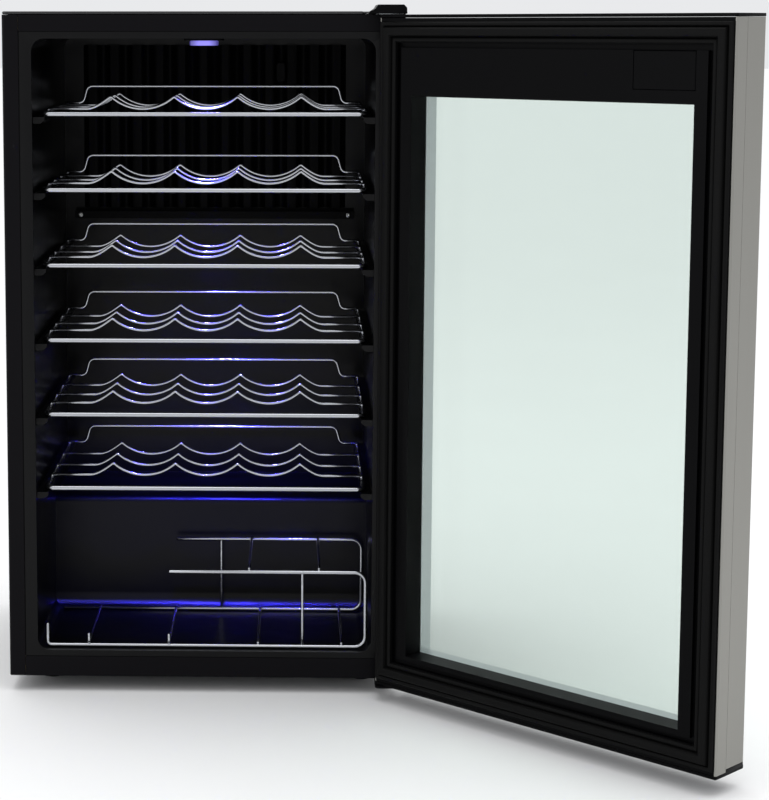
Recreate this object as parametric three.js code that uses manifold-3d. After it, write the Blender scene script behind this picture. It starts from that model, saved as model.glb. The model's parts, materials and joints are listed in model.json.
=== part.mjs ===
// A free-standing wine cooler with its glass door swung open to the right.
// Millimetres, +Z up. The cabinet's front plane is Y = 0 and its depth runs along +Y.
// The door, the six bottle racks, the bottle basket and the two front feet all move.
import * as THREE from "three";
import { mergeVertices } from "three/addons/utils/BufferGeometryUtils.js";
import Module from "manifold-3d";

const wasm = await Module();
wasm.setup();

// ---- Driving dimensions -------------------------------------------------

const GAP = 0.3;

// Cabinet
const HALF_WIDTH = 240;
const DEPTH = 404;
const BASE_Z = 20;
const TOP_Z = 829;
const SHEET = 1.2;
const FLANGE_WIDTH = 19.5;
const TOP_LID = 4;

// Lined interior
const CAVITY_HALF = 205;
const CAVITY_FLOOR = 52.4;
const CAVITY_CEILING = 800.7;
const CAVITY_BACK = 367;
const CAVITY_CORNER = 15;
const LINER = 1.8;
const HUMP_FACE = 205;
const HUMP_TOP = 200;
const HUMP_FILLET = 20;
const HUMP_NOSE = 8;

// Compressor bay, open at the rear
const BAY_FRONT = 236;
const BAY_CEILING = 170;

// Bottle racks, each height measured to its front wire's centre
const RACK_TOP = 710.5;
const RACK_PITCH = 91.7;
const RACK_COUNT = 6;
const RACK_HALF = 194.5;
const RACK_FRONT = 20;
const RACK_BACK = 293.5;
const FRAME_WIRE = 3;
const CRADLE_WIRE = 1.75;
const RAIL_WIRE = 2;
const CRADLE_ROWS = [80, 141, 213];
const BOTTLE_PITCH = 78;
const CRADLE_RISE = 15;
const CRADLE_RUN_OUT = 30;
const RAIL_RISE = 22;
const RAIL_TOP_X = 166;
const RAIL_FOOT_X = 172;
const WELD_RISE = 4.1;

// Bottle basket on the cabinet floor
const BASKET_FRONT = 15;
const BASKET_BACK = 185;
const BASKET_LOW = 55.2;
const BASKET_HIGH = 149;
const BASKET_LEFT = -194.5;
const BASKET_RIGHT = 198;
const BASKET_OPEN_END = -44;
const BASKET_RAIL = 2.5;

// Door, drawn closed and then turned about its pins
const DOOR_ANGLE = 136.8;
const PIVOT_X = 227;
const PIVOT_Y = -21.3;
const DOOR_INNER = -8;
const DOOR_DEPTH = 56;
const DOOR_LOW = 20.6;
const DOOR_HIGH = 828.9;
const END_CAP = 3.8;
const CAP_LIP = 3.5;
const INNER_BAND = 19.5;
const FRONT_BORDER = 30;
const WINDOW_SIDE = 49;
const WINDOW_LOW = 65;
const WINDOW_HIGH = 734.5;
const GLASS = 4;
const GLASS_RECESS = 27;
const GASKET_EDGE = 3;
const GASKET_WIDTH = 24;
const GASKET_MARGIN = 5;
const GROOVE_WIDTH = 6;
const GROOVE_DEPTH = 5;
const PIN = 4;
const BUSH = 7;
const BUSH_LENGTH = 15;

// Door handle
const HANDLE_INSET = 32;
const HANDLE_RADIUS = 6;
const HANDLE_STANDOFF = 30;
const HANDLE_LOW = 205;
const HANDLE_HIGH = 645;
const POST_INSET = 45;

// Feet
const FOOT_RADIUS = 16;
const FOOT_X = 195;
const FOOT_FRONT_Y = 74;
const FOOT_BACK_Y = 370;

// ---- Materials ----------------------------------------------------------

const material = (color, roughness, metalness) =>
  new THREE.MeshStandardMaterial({ color, roughness, metalness });

const finishes = {
  blackSteel: () => material(0x1d1b20, 0.45, 0.1),
  blackPlastic: () => material(0x0c0c0f, 0.3, 0),
  blackRubber: () => material(0x0a0a0a, 0.75, 0),
  stainless: () => material(0x9c9a96, 0.35, 1),
  chrome: () => material(0xc6c8cc, 0.15, 1),
  glass: () => material(0xdce6e2, 0.05, 0),
  aluminium: () => material(0xb9bcc0, 0.4, 1),
  galvanised: () => material(0x8f9396, 0.5, 1),
  copper: () => material(0xa8623a, 0.35, 1),
  foam: () => material(0xe0cf9a, 0.9, 0),
  lamp: () => material(0x4a5cff, 0.3, 0),
};

// ---- Geometry helpers ---------------------------------------------------

function toSolid(geometry) {
  const bare = geometry.index ? geometry.toNonIndexed() : geometry.clone();
  bare.deleteAttribute("normal");
  bare.deleteAttribute("uv");
  const merged = mergeVertices(bare, 1e-4);
  return new wasm.Manifold(
    new wasm.Mesh({
      numProp: 3,
      vertProperties: new Float32Array(merged.attributes.position.array),
      triVerts: new Uint32Array(merged.index.array),
    }),
  );
}

function toGeometry(solid) {
  const mesh = solid.getMesh();
  const positions = new THREE.BufferAttribute(mesh.vertProperties, mesh.numProp);
  const geometry = new THREE.BufferGeometry().setAttribute("position", positions);
  geometry.setIndex(new THREE.BufferAttribute(mesh.triVerts, 1));
  return geometry;
}

const join = (first, ...others) =>
  toGeometry(others.reduce((sum, other) => sum.add(toSolid(other)), toSolid(first)));

const cut = (first, ...others) =>
  toGeometry(others.reduce((sum, other) => sum.subtract(toSolid(other)), toSolid(first)));

const common = (first, second) => toGeometry(toSolid(first).intersect(toSolid(second)));

const box = (x0, x1, y0, y1, z0, z1) =>
  new THREE.BoxGeometry(x1 - x0, y1 - y0, z1 - z0).translate(
    (x0 + x1) / 2,
    (y0 + y1) / 2,
    (z0 + z1) / 2,
  );

const post = (radius, x, y, z0, z1, sides = 20) =>
  new THREE.CylinderGeometry(radius, radius, z1 - z0, sides)
    .rotateX(Math.PI / 2)
    .translate(x, y, (z0 + z1) / 2);

const rod = (radius, x, z, y0, y1, sides = 16) =>
  new THREE.CylinderGeometry(radius, radius, y1 - y0, sides).translate(x, (y0 + y1) / 2, z);

const outline = (points) => new THREE.Shape(points.map(([a, b]) => new THREE.Vector2(a, b)));

const extrude = (shape, length, curveSegments = 4) =>
  new THREE.ExtrudeGeometry(shape, { depth: length, bevelEnabled: false, curveSegments });

// A profile in X and Y, raised from z0 to z1.
const raise = (shape, z0, z1, segments) =>
  extrude(shape, z1 - z0, segments).translate(0, 0, z0);

// A profile in Y and Z, run along X.
const runX = (shape, x0, x1, segments) =>
  extrude(shape, x1 - x0, segments)
    .applyMatrix4(
      new THREE.Matrix4().makeBasis(
        new THREE.Vector3(0, 1, 0),
        new THREE.Vector3(0, 0, 1),
        new THREE.Vector3(1, 0, 0),
      ),
    )
    .translate(x0, 0, 0);

// A profile in X and Z, run along Y.
const runY = (shape, y0, y1, segments) =>
  extrude(shape, y1 - y0, segments).rotateX(Math.PI / 2).translate(0, y1, 0);

function roundedRectangle(x0, x1, y0, y1, radius) {
  const shape = new THREE.Shape();
  shape.moveTo(x0 + radius, y0);
  shape.lineTo(x1 - radius, y0);
  shape.absarc(x1 - radius, y0 + radius, radius, -Math.PI / 2, 0);
  shape.lineTo(x1, y1 - radius);
  shape.absarc(x1 - radius, y1 - radius, radius, 0, Math.PI / 2);
  shape.lineTo(x0 + radius, y1);
  shape.absarc(x0 + radius, y1 - radius, radius, Math.PI / 2, Math.PI);
  shape.lineTo(x0, y0 + radius);
  shape.absarc(x0 + radius, y0 + radius, radius, Math.PI, 1.5 * Math.PI);
  return shape;
}

// A bent wire's centre line: straight between its points, which may lie at any spacing.
class WirePath extends THREE.Curve {
  constructor(points) {
    super();
    this.points = points;
  }

  getUtoTmapping(u) {
    return u;
  }

  getPoint(t) {
    const place = t * (this.points.length - 1);
    const index = Math.min(Math.floor(place), this.points.length - 2);
    return this.points[index].clone().lerp(this.points[index + 1], place - index);
  }

  getTangent(t) {
    const last = this.points.length - 1;
    const index = Math.round(t * last);
    const before = this.points[Math.max(index - 1, 0)];
    const here = this.points[index];
    const after = this.points[Math.min(index + 1, last)];
    const into = here.clone().sub(before).normalize();
    return after.clone().sub(here).normalize().add(into).normalize();
  }
}

function wire(points, radius, sides = 8) {
  const section = new THREE.Shape(
    Array.from({ length: sides }, (_, i) => {
      const angle = (2 * Math.PI * i) / sides;
      return new THREE.Vector2(radius * Math.cos(angle), radius * Math.sin(angle));
    }),
  );
  const extrudePath = new WirePath(points);
  return new THREE.ExtrudeGeometry(section, { steps: points.length - 1, extrudePath });
}

// Corner points turned into bends of one radius, unless a corner's fourth number gives its own.
function bent(corners, radius, steps = 3) {
  const points = corners.map(([x, y, z]) => new THREE.Vector3(x, y, z));
  const line = [points[0]];
  for (let i = 1; i < points.length - 1; i += 1) {
    const reach = corners[i][3] ?? radius;
    const towards = (other) =>
      points[i].clone().add(other.clone().sub(points[i]).setLength(reach));
    const bend = new THREE.QuadraticBezierCurve3(
      towards(points[i - 1]),
      points[i],
      towards(points[i + 1]),
    );
    line.push(...bend.getPoints(steps));
  }
  line.push(points.at(-1));
  return line;
}

const cooler = new THREE.Group();

function add(parent, name, geometry, finish) {
  const mesh = new THREE.Mesh(geometry, finish());
  mesh.name = name;
  parent.add(mesh);
  return mesh;
}

// ---- Outer cabinet ------------------------------------------------------

function sidePanel(side) {
  const edge = side * HALF_WIDTH;
  const inner = edge - side * SHEET;
  const flange = edge - side * FLANGE_WIDTH;
  const corner = edge - side * 3;
  const profile = outline([
    [edge, 3],
    [edge, DEPTH],
    [inner, DEPTH],
    [inner, SHEET],
    [flange, SHEET],
    [flange, 0],
    [corner, 0],
    [edge - side * 0.9, 0.9],
  ]);
  return raise(profile, BASE_Z, TOP_Z);
}

add(cooler, "side_panel_left", sidePanel(-1), finishes.blackSteel);
add(cooler, "side_panel_right", sidePanel(1), finishes.blackSteel);

const INSIDE_SHELL = HALF_WIDTH - SHEET - GAP;
const INSIDE_FLANGE = HALF_WIDTH - FLANGE_WIDTH - GAP;
const HEADER_LOW = TOP_Z - FLANGE_WIDTH;
const LEDGE_Y = SHEET + GAP;

const topSkin = join(
  box(-INSIDE_SHELL, INSIDE_SHELL, LEDGE_Y, DEPTH, TOP_Z - SHEET, TOP_Z),
  box(-INSIDE_FLANGE, INSIDE_FLANGE, 0, SHEET, HEADER_LOW, TOP_Z),
  box(-INSIDE_FLANGE, INSIDE_FLANGE, 0, DEPTH, TOP_Z - SHEET, TOP_Z),
);
add(cooler, "top_skin", topSkin, finishes.blackSteel);

const NOTCH_X = 190;
const NOTCH_Y = 47;
const lidPlan = roundedRectangle(-HALF_WIDTH, HALF_WIDTH, 0.5, DEPTH, 7);
const topLid = cut(
  raise(lidPlan, TOP_Z + GAP, TOP_Z + TOP_LID, 3),
  box(NOTCH_X, HALF_WIDTH + 1, 0, NOTCH_Y, TOP_Z, TOP_Z + TOP_LID + 1),
);
add(cooler, "top_lid", topLid, finishes.blackSteel);

const SILL_LOW = 44.7;
const basePan = join(
  box(-INSIDE_SHELL, INSIDE_SHELL, LEDGE_Y, DEPTH - 2, BASE_Z, BASE_Z + 2),
  box(-INSIDE_FLANGE, INSIDE_FLANGE, 0, DEPTH / 2, BASE_Z, BASE_Z + 2),
  box(-INSIDE_FLANGE, INSIDE_FLANGE, 0, SHEET, BASE_Z, SILL_LOW),
);
add(cooler, "base_pan", basePan, finishes.blackSteel);

const backPanel = box(
  -INSIDE_SHELL,
  INSIDE_SHELL,
  DEPTH - SHEET,
  DEPTH,
  BAY_CEILING + 2,
  TOP_Z - SHEET - GAP,
);
add(cooler, "back_panel", backPanel, finishes.galvanised);

const bayProfile = outline([
  [BAY_FRONT, BASE_Z + 2 + GAP],
  [BAY_FRONT + 1, BASE_Z + 2 + GAP],
  [BAY_FRONT + 1, BAY_CEILING],
  [DEPTH - SHEET - GAP, BAY_CEILING],
  [DEPTH - SHEET - GAP, BAY_CEILING + 1],
  [BAY_FRONT, BAY_CEILING + 1],
]);
add(cooler, "bay_panel", runX(bayProfile, -INSIDE_SHELL, INSIDE_SHELL), finishes.galvanised);

// ---- Liner and insulation -----------------------------------------------

// The lined space, grown outwards by a wall thickness.
function linedSpace(grow, front) {
  const floor = CAVITY_FLOOR - grow;
  const ceiling = CAVITY_CEILING + grow;
  const back = CAVITY_BACK + grow;
  const face = HUMP_FACE + grow;
  const top = HUMP_TOP - grow;
  const fillet = HUMP_FILLET + grow;
  const nose = HUMP_NOSE - grow;
  const side = new THREE.Shape();
  side.moveTo(front, floor);
  side.lineTo(face - fillet, floor);
  side.absarc(face - fillet, floor + fillet, fillet, -Math.PI / 2, 0);
  side.lineTo(face, top - nose);
  side.absarc(face + nose, top - nose, nose, Math.PI, Math.PI / 2, true);
  side.lineTo(back, top);
  side.lineTo(back, ceiling);
  side.lineTo(front, ceiling);
  const half = CAVITY_HALF + grow;
  const mouth = roundedRectangle(-half, half, floor, ceiling, CAVITY_CORNER + grow);
  return common(runX(side, -half, half, 5), runY(mouth, front, back, 4));
}

const rackHeights = Array.from({ length: RACK_COUNT }, (_, i) => RACK_TOP - i * RACK_PITCH);

const LEDGE_INNER = 191;
const LEDGE_DEPTH = 8;
function ledge(side, height) {
  const top = height - FRAME_WIRE - GAP;
  const wall = side * (CAVITY_HALF + 1);
  const profile = outline([
    [wall, top - LEDGE_DEPTH],
    [side * (LEDGE_INNER + 5), top - LEDGE_DEPTH],
    [side * LEDGE_INNER, top - 4],
    [side * LEDGE_INNER, top],
    [wall, top],
  ]);
  return runY(profile, 10, 332);
}

const MOUTH_FLANGE = INSIDE_FLANGE - GAP;
const FLANGE_FRONT = 0.8;
const FLANGE_BACK = 2.6;
const mouthFlange = box(
  -MOUTH_FLANGE,
  MOUTH_FLANGE,
  FLANGE_FRONT,
  FLANGE_BACK,
  SILL_LOW + GAP,
  HEADER_LOW - GAP,
);
const ledges = rackHeights.flatMap((height) => [ledge(-1, height), ledge(1, height)]);
const linerShell = cut(join(mouthFlange, linedSpace(LINER, 1.2)), linedSpace(0, -2));
add(cooler, "inner_liner", join(linerShell, ...ledges), finishes.blackPlastic);

const foamSide = outline([
  [3, BASE_Z + 2.5],
  [BAY_FRONT - GAP, BASE_Z + 2.5],
  [BAY_FRONT - GAP, BAY_CEILING + 1 + GAP],
  [DEPTH - SHEET - GAP, BAY_CEILING + 1 + GAP],
  [DEPTH - SHEET - GAP, TOP_Z - SHEET - GAP],
  [3, TOP_Z - SHEET - GAP],
]);
const foam = cut(runX(foamSide, -INSIDE_SHELL, INSIDE_SHELL), linedSpace(LINER + GAP, -2));
add(cooler, "insulation_foam", foam, finishes.foam);

// ---- Cooling inside the cabinet -----------------------------------------

const RIB_PITCH = 30;
const RIB_COUNT = 12;
const PLATE_BACK = 364;
const PLATE_FRONT = 354;
function corrugated(low, high) {
  const face = [];
  for (let i = 0; i < RIB_COUNT; i += 1) {
    const start = (i - RIB_COUNT / 2) * RIB_PITCH;
    face.push([start + 2, PLATE_BACK - 2], [start + 7, PLATE_FRONT]);
    face.push([start + 23, PLATE_FRONT], [start + 28, PLATE_BACK - 2]);
  }
  const rear = [...face].reverse().map(([x, y]) => [x, y + 1.5]);
  return raise(outline([...face, ...rear]), low, high);
}
add(cooler, "evaporator_plate", corrugated(570, 790), finishes.aluminium);

const GUTTER_HALF = 190;
const GUTTER_FRONT = 343;
const GUTTER_BACK = CAVITY_BACK - GAP;
const GUTTER_LOW = 556;
const GUTTER_WALL = 1.5;
const gutterProfile = outline([
  [GUTTER_FRONT, GUTTER_LOW],
  [GUTTER_BACK, GUTTER_LOW],
  [GUTTER_BACK, GUTTER_LOW + 13],
  [GUTTER_BACK - GUTTER_WALL, GUTTER_LOW + 13],
  [GUTTER_BACK - GUTTER_WALL, GUTTER_LOW + GUTTER_WALL],
  [GUTTER_FRONT + GUTTER_WALL, GUTTER_LOW + GUTTER_WALL],
  [GUTTER_FRONT + GUTTER_WALL, GUTTER_LOW + 10],
  [GUTTER_FRONT, GUTTER_LOW + 10],
]);
const gutter = runX(gutterProfile, -GUTTER_HALF, GUTTER_HALF);
add(cooler, "drip_gutter", gutter, finishes.blackPlastic);

const SENSOR_X = 90;
const SENSOR_Z = 754;
const sensorPlan = roundedRectangle(SENSOR_X - 6, SENSOR_X + 6, SENSOR_Z - 13, SENSOR_Z + 13, 4);
const sensorCover = runY(sensorPlan, PLATE_FRONT - 12, PLATE_FRONT - GAP, 3);
add(cooler, "sensor_cover", sensorCover, finishes.blackPlastic);

// ---- Ceiling lamp -------------------------------------------------------

const LAMP_HALF = 24;
const LAMP_FRONT = 15;
const LAMP_BACK = 47;
const LAMP_PLATE = 2;
const LENS_HALF = 17;
const LENS_MARGIN = 3;
const LENS_DEPTH = 8;
const lampCeiling = CAVITY_CEILING - GAP;
const lampPlan = roundedRectangle(-LAMP_HALF, LAMP_HALF, LAMP_FRONT, LAMP_BACK, 6);
const lampHousing = raise(lampPlan, lampCeiling - LAMP_PLATE, lampCeiling, 3);
add(cooler, "lamp_housing", lampHousing, finishes.blackPlastic);
const lensPlan = roundedRectangle(
  -LENS_HALF,
  LENS_HALF,
  LAMP_FRONT + LENS_MARGIN,
  LAMP_BACK - LENS_MARGIN,
  5,
);
const lampLens = raise(lensPlan, lampCeiling - LENS_DEPTH, lampCeiling - LAMP_PLATE - GAP, 3);
add(cooler, "lamp_lens", lampLens, finishes.lamp);

// ---- Compressor bay -----------------------------------------------------

const COMPRESSOR_X = 40;
const COMPRESSOR_Y = 322;
const PLATE_LOW = 34;
const SHELL_LOW = 37;
const SHELL_HIGH = 134;
const SHELL_RADIUS = 58;
const DOME_RADIUS = 56;
const DOME_START = 100;
const SEAM_LOW = 82;
const FOOT_PLATE_HALF_X = 92;
const FOOT_PLATE_HALF_Y = 56;
const MOUNT_X = 76;
const MOUNT_Y = 42;

const shellProfile = new THREE.Path();
shellProfile.moveTo(0, SHELL_LOW - 1);
shellProfile.lineTo(DOME_RADIUS - 10, SHELL_LOW - 1);
shellProfile.lineTo(DOME_RADIUS, SHELL_LOW + 12);
shellProfile.lineTo(DOME_RADIUS, SEAM_LOW);
shellProfile.lineTo(SHELL_RADIUS, SEAM_LOW + 1);
shellProfile.lineTo(SHELL_RADIUS, SEAM_LOW + 8);
shellProfile.lineTo(DOME_RADIUS, SEAM_LOW + 9);
shellProfile.absellipse(0, DOME_START, DOME_RADIUS, SHELL_HIGH - DOME_START, 0, Math.PI / 2);
shellProfile.lineTo(0, SHELL_LOW - 1);
const shell = new THREE.LatheGeometry(shellProfile.getPoints(5), 24)
  .rotateX(Math.PI / 2)
  .translate(COMPRESSOR_X, COMPRESSOR_Y, 0);
const footPlate = raise(
  roundedRectangle(
    COMPRESSOR_X - FOOT_PLATE_HALF_X,
    COMPRESSOR_X + FOOT_PLATE_HALF_X,
    COMPRESSOR_Y - FOOT_PLATE_HALF_Y,
    COMPRESSOR_Y + FOOT_PLATE_HALF_Y,
    12,
  ),
  PLATE_LOW,
  SHELL_LOW,
  3,
);
add(cooler, "compressor", join(footPlate, shell), finishes.blackSteel);

const mountPlaces = [
  ["front_left", -1, -1],
  ["front_right", 1, -1],
  ["rear_left", -1, 1],
  ["rear_right", 1, 1],
];
for (const [place, sx, sy] of mountPlaces) {
  const x = COMPRESSOR_X + sx * MOUNT_X;
  const y = COMPRESSOR_Y + sy * MOUNT_Y;
  const grommet = post(9, x, y, BASE_Z + 2 + GAP, PLATE_LOW - GAP, 14);
  add(cooler, `compressor_mount_${place}`, grommet, finishes.blackRubber);
}

const RELAY_REACH = 101;
const RELAY_HALF_Y = 26;
const RELAY_LOW = 62;
const RELAY_HIGH = 118;
const relayBox = box(
  COMPRESSOR_X - RELAY_REACH,
  COMPRESSOR_X - SHELL_RADIUS - GAP,
  COMPRESSOR_Y - RELAY_HALF_Y,
  COMPRESSOR_Y + RELAY_HALF_Y,
  RELAY_LOW,
  RELAY_HIGH,
);
add(cooler, "relay_box", relayBox, finishes.blackPlastic);

const TRAY_HALF_X = 60;
const TRAY_HALF_Y = 54;
const TRAY_WALL = 1.8;
const trayPlan = (inset) =>
  roundedRectangle(
    COMPRESSOR_X - TRAY_HALF_X + inset,
    COMPRESSOR_X + TRAY_HALF_X - inset,
    COMPRESSOR_Y - TRAY_HALF_Y + inset,
    COMPRESSOR_Y + TRAY_HALF_Y - inset,
    14 - inset,
  );
const TRAY_LOW = SHELL_HIGH + GAP;
const TRAY_HIGH = TRAY_LOW + 16;
const drainTray = cut(
  raise(trayPlan(0), TRAY_LOW, TRAY_HIGH, 4),
  raise(trayPlan(TRAY_WALL), TRAY_LOW + TRAY_WALL, TRAY_HIGH + 1, 4),
);
add(cooler, "drain_tray", drainTray, finishes.blackPlastic);

const SHELL_EDGE = COMPRESSOR_X + SHELL_RADIUS + GAP;
const PIPE_BEND = 14;
const DISCHARGE_Z = 60;
const DISCHARGE_HIGH = 150;
const dischargePath = bent(
  [
    [SHELL_EDGE, COMPRESSOR_Y, DISCHARGE_Z],
    [180, COMPRESSOR_Y, DISCHARGE_Z],
    [180, 260, DISCHARGE_Z],
    [222, 260, DISCHARGE_Z],
    [222, 260, DISCHARGE_HIGH],
    [222, 380, DISCHARGE_HIGH],
  ],
  PIPE_BEND,
);
add(cooler, "discharge_pipe", wire(dischargePath, 3), finishes.copper);

const SUCTION_Z = 76;
const SUCTION_X = 150;
const SUCTION_BACK = 385;
const SUCTION_HIGH = BAY_CEILING - 6;
const suctionPath = bent(
  [
    [SHELL_EDGE, COMPRESSOR_Y + 20, SUCTION_Z],
    [SUCTION_X, COMPRESSOR_Y + 20, SUCTION_Z],
    [SUCTION_X, SUCTION_BACK, SUCTION_Z],
    [SUCTION_X, SUCTION_BACK, SUCTION_HIGH],
    [60, SUCTION_BACK, SUCTION_HIGH],
  ],
  PIPE_BEND,
);
add(cooler, "suction_pipe", wire(suctionPath, 4), finishes.copper);

const DRIER_PLACE = [-150, 372, 60];
const DRIER_RADIUS = 12;
const DRIER_NECK = 4;
const DRIER_LENGTH = 88;
const DRIER_CONE = 10;
const drierProfile = [
  [0, 0],
  [DRIER_NECK, 0],
  [DRIER_RADIUS, DRIER_CONE],
  [DRIER_RADIUS, DRIER_LENGTH - DRIER_CONE],
  [DRIER_NECK, DRIER_LENGTH],
  [0, DRIER_LENGTH],
].map(([r, z]) => new THREE.Vector2(r, z));
const drier = new THREE.LatheGeometry(drierProfile, 14)
  .rotateX(Math.PI / 2)
  .translate(...DRIER_PLACE);
add(cooler, "filter_drier", drier, finishes.copper);

const BOARD_LEFT = -232;
const BOARD_FRONT = 262;
const BOARD_LOW = 40;
const BOARD_SIZE = [56, 90, 92];
const boardBox = box(
  BOARD_LEFT,
  BOARD_LEFT + BOARD_SIZE[0],
  BOARD_FRONT,
  BOARD_FRONT + BOARD_SIZE[1],
  BOARD_LOW,
  BOARD_LOW + BOARD_SIZE[2],
);
add(cooler, "control_board_box", boardBox, finishes.blackPlastic);

const GLAND_X = -200;
const GLAND_Z = 36;
const glandBody = join(
  rod(11, GLAND_X, GLAND_Z, DEPTH - 14, DEPTH - 10),
  rod(8, GLAND_X, GLAND_Z, DEPTH - 30, DEPTH - 2),
);
add(cooler, "cable_gland", glandBody, finishes.blackPlastic);

// ---- Hinges on the cabinet ----------------------------------------------

const HINGE_PLATE = 2.5;
const BRACKET_TOP_Z = TOP_Z + GAP;
const bracketPlan = roundedRectangle(206, 236, PIVOT_Y - 11, 40, 6);
const topBracket = raise(bracketPlan, BRACKET_TOP_Z, BRACKET_TOP_Z + HINGE_PLATE, 3);
const topPin = post(PIN, PIVOT_X, PIVOT_Y, DOOR_HIGH - BUSH_LENGTH + 1, BRACKET_TOP_Z - GAP);
const pinCollar = post(PIN + 2, PIVOT_X, PIVOT_Y, BRACKET_TOP_Z + HINGE_PLATE + GAP, 835.5);
const pinHole = post(PIN - 1, PIVOT_X, PIVOT_Y, 800, 840);
const pinNeck = post(PIN - 1.3, PIVOT_X, PIVOT_Y, BRACKET_TOP_Z - 2, 834);
add(cooler, "hinge_bracket_top", cut(topBracket, pinHole), finishes.galvanised);
add(cooler, "hinge_pin_top", join(topPin, pinNeck, pinCollar), finishes.chrome);

const COVER_LEFT = 193;
const COVER_TOP = 840.5;
const COVER_WALL = 1.6;
const coverSection = (inset) =>
  outline([
    [COVER_LEFT + inset, TOP_Z + GAP],
    [203.5 + inset, COVER_TOP - 4],
    [206 + inset, COVER_TOP - inset],
    [236 - inset, COVER_TOP - inset],
    [239.5 - inset, COVER_TOP - 3.5],
    [HALF_WIDTH - inset, TOP_Z + GAP],
  ]);
const coverFront = PIVOT_Y - 15;
const coverBack = NOTCH_Y - GAP;
const hollowFront = coverFront + COVER_WALL;
const hollowBack = coverBack - COVER_WALL;
const hollowRight = HALF_WIDTH - COVER_WALL;
const hingeCover = cut(
  runY(coverSection(0), coverFront, coverBack),
  runY(coverSection(COVER_WALL), hollowFront, hollowBack),
  box(COVER_LEFT + 3, hollowRight, hollowFront, hollowBack, TOP_Z - 1, TOP_Z + 5),
  box(COVER_LEFT - 13, HALF_WIDTH + 10, coverFront - 1, -GAP, TOP_Z - 1, TOP_Z + 0.9),
);
add(cooler, "hinge_cover", hingeCover, finishes.blackPlastic);

const lowBracketTop = BASE_Z - GAP;
const lowBracket = raise(
  roundedRectangle(209, 238, PIVOT_Y - 11, 56, 6),
  lowBracketTop - HINGE_PLATE,
  lowBracketTop,
  3,
);
const lowPin = post(PIN, PIVOT_X, PIVOT_Y, lowBracketTop - 1, DOOR_LOW + BUSH_LENGTH - 1);
add(cooler, "hinge_bracket_bottom", join(lowBracket, lowPin), finishes.blackSteel);

// ---- Door ---------------------------------------------------------------

const doorHinge = new THREE.Group();
doorHinge.position.set(PIVOT_X, PIVOT_Y, 0);
doorHinge.rotation.z = THREE.MathUtils.degToRad(DOOR_ANGLE);
cooler.add(doorHinge);
const door = new THREE.Group();
door.position.set(-PIVOT_X, -PIVOT_Y, 0);
doorHinge.add(door);

const DOOR_OUTER = DOOR_INNER - DOOR_DEPTH;
const SKIN_LOW = DOOR_LOW + END_CAP;
const SKIN_HIGH = DOOR_HIGH - END_CAP;
const BAND_SPLIT = DOOR_INNER - INNER_BAND;

// Past a right angle the cabinet's corner swings into this step in the door's hinge edge.
const STEP_Y = DOOR_INNER - 28.5;
const STEP_SLOPE = 2;
const STEP_X = 9.5;

// A stainless edge profile: the door's side face and the border on its front.
function stile(side, setback, z0, z1) {
  const edge = side * HALF_WIDTH;
  const face = edge - side * setback;
  const border = face - side * FRONT_BORDER;
  const inner = face - side * SHEET;
  const step = setback
    ? [
        [edge, STEP_Y],
        [face, STEP_Y - STEP_SLOPE],
      ]
    : [];
  const stepInside = setback
    ? [
        [inner, STEP_Y - STEP_SLOPE + SHEET * 0.4],
        [edge - side * SHEET, STEP_Y + SHEET * 0.6],
      ]
    : [];
  const profile = outline([
    [edge - side * SHEET, BAND_SPLIT - GAP],
    [edge, BAND_SPLIT - GAP],
    ...step,
    [face, DOOR_OUTER + 3],
    [face - side * 0.9, DOOR_OUTER + 0.9],
    [face - side * 3, DOOR_OUTER],
    [border, DOOR_OUTER],
    [border, DOOR_OUTER + SHEET],
    [inner, DOOR_OUTER + SHEET],
    ...stepInside,
  ]);
  return raise(profile, z0, z1);
}
const STILE_LOW = SKIN_LOW + CAP_LIP;
const handleStile = stile(-1, 0, STILE_LOW, SKIN_HIGH);
const hingeStile = stile(1, STEP_X, STILE_LOW, SKIN_HIGH);
add(door, "door_stile_handle_side", handleStile, finishes.stainless);
add(door, "door_stile_hinge_side", hingeStile, finishes.stainless);

const RAIL_LEFT = -HALF_WIDTH + FRONT_BORDER + GAP;
const RAIL_RIGHT = HALF_WIDTH - STEP_X - FRONT_BORDER - GAP;
const rail = (z0, z1) => box(RAIL_LEFT, RAIL_RIGHT, DOOR_OUTER, DOOR_OUTER + SHEET, z0, z1);
add(door, "door_rail_top", rail(SKIN_HIGH - FRONT_BORDER, SKIN_HIGH), finishes.stainless);
add(door, "door_rail_bottom", rail(STILE_LOW, SKIN_LOW + FRONT_BORDER), finishes.stainless);

// What the step takes out of the pieces behind the stile.
const stepSpace = (clear) =>
  raise(
    outline([
      [HALF_WIDTH + 1, STEP_Y + clear],
      [HALF_WIDTH - clear, STEP_Y + clear],
      [HALF_WIDTH - STEP_X - clear, STEP_Y - STEP_SLOPE + clear],
      [HALF_WIDTH - STEP_X - clear, DOOR_OUTER - 1],
      [HALF_WIDTH + 1, DOOR_OUTER - 1],
    ]),
    DOOR_LOW - 1,
    DOOR_HIGH + 1,
  );

function edgeBand(side) {
  const edge = side * HALF_WIDTH;
  const inner = edge - side * SHEET;
  const lip = edge - side * 2.6;
  const profile = outline([
    [edge, BAND_SPLIT],
    [edge, DOOR_INNER - 1.5],
    [edge - side * 1.5, DOOR_INNER],
    [lip, DOOR_INNER],
    [lip, DOOR_INNER - SHEET],
    [inner, DOOR_INNER - SHEET],
    [inner, BAND_SPLIT],
  ]);
  return raise(profile, SKIN_LOW, SKIN_HIGH);
}
add(door, "door_edge_band_handle_side", edgeBand(-1), finishes.stainless);
add(door, "door_edge_band_hinge_side", edgeBand(1), finishes.stainless);

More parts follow.
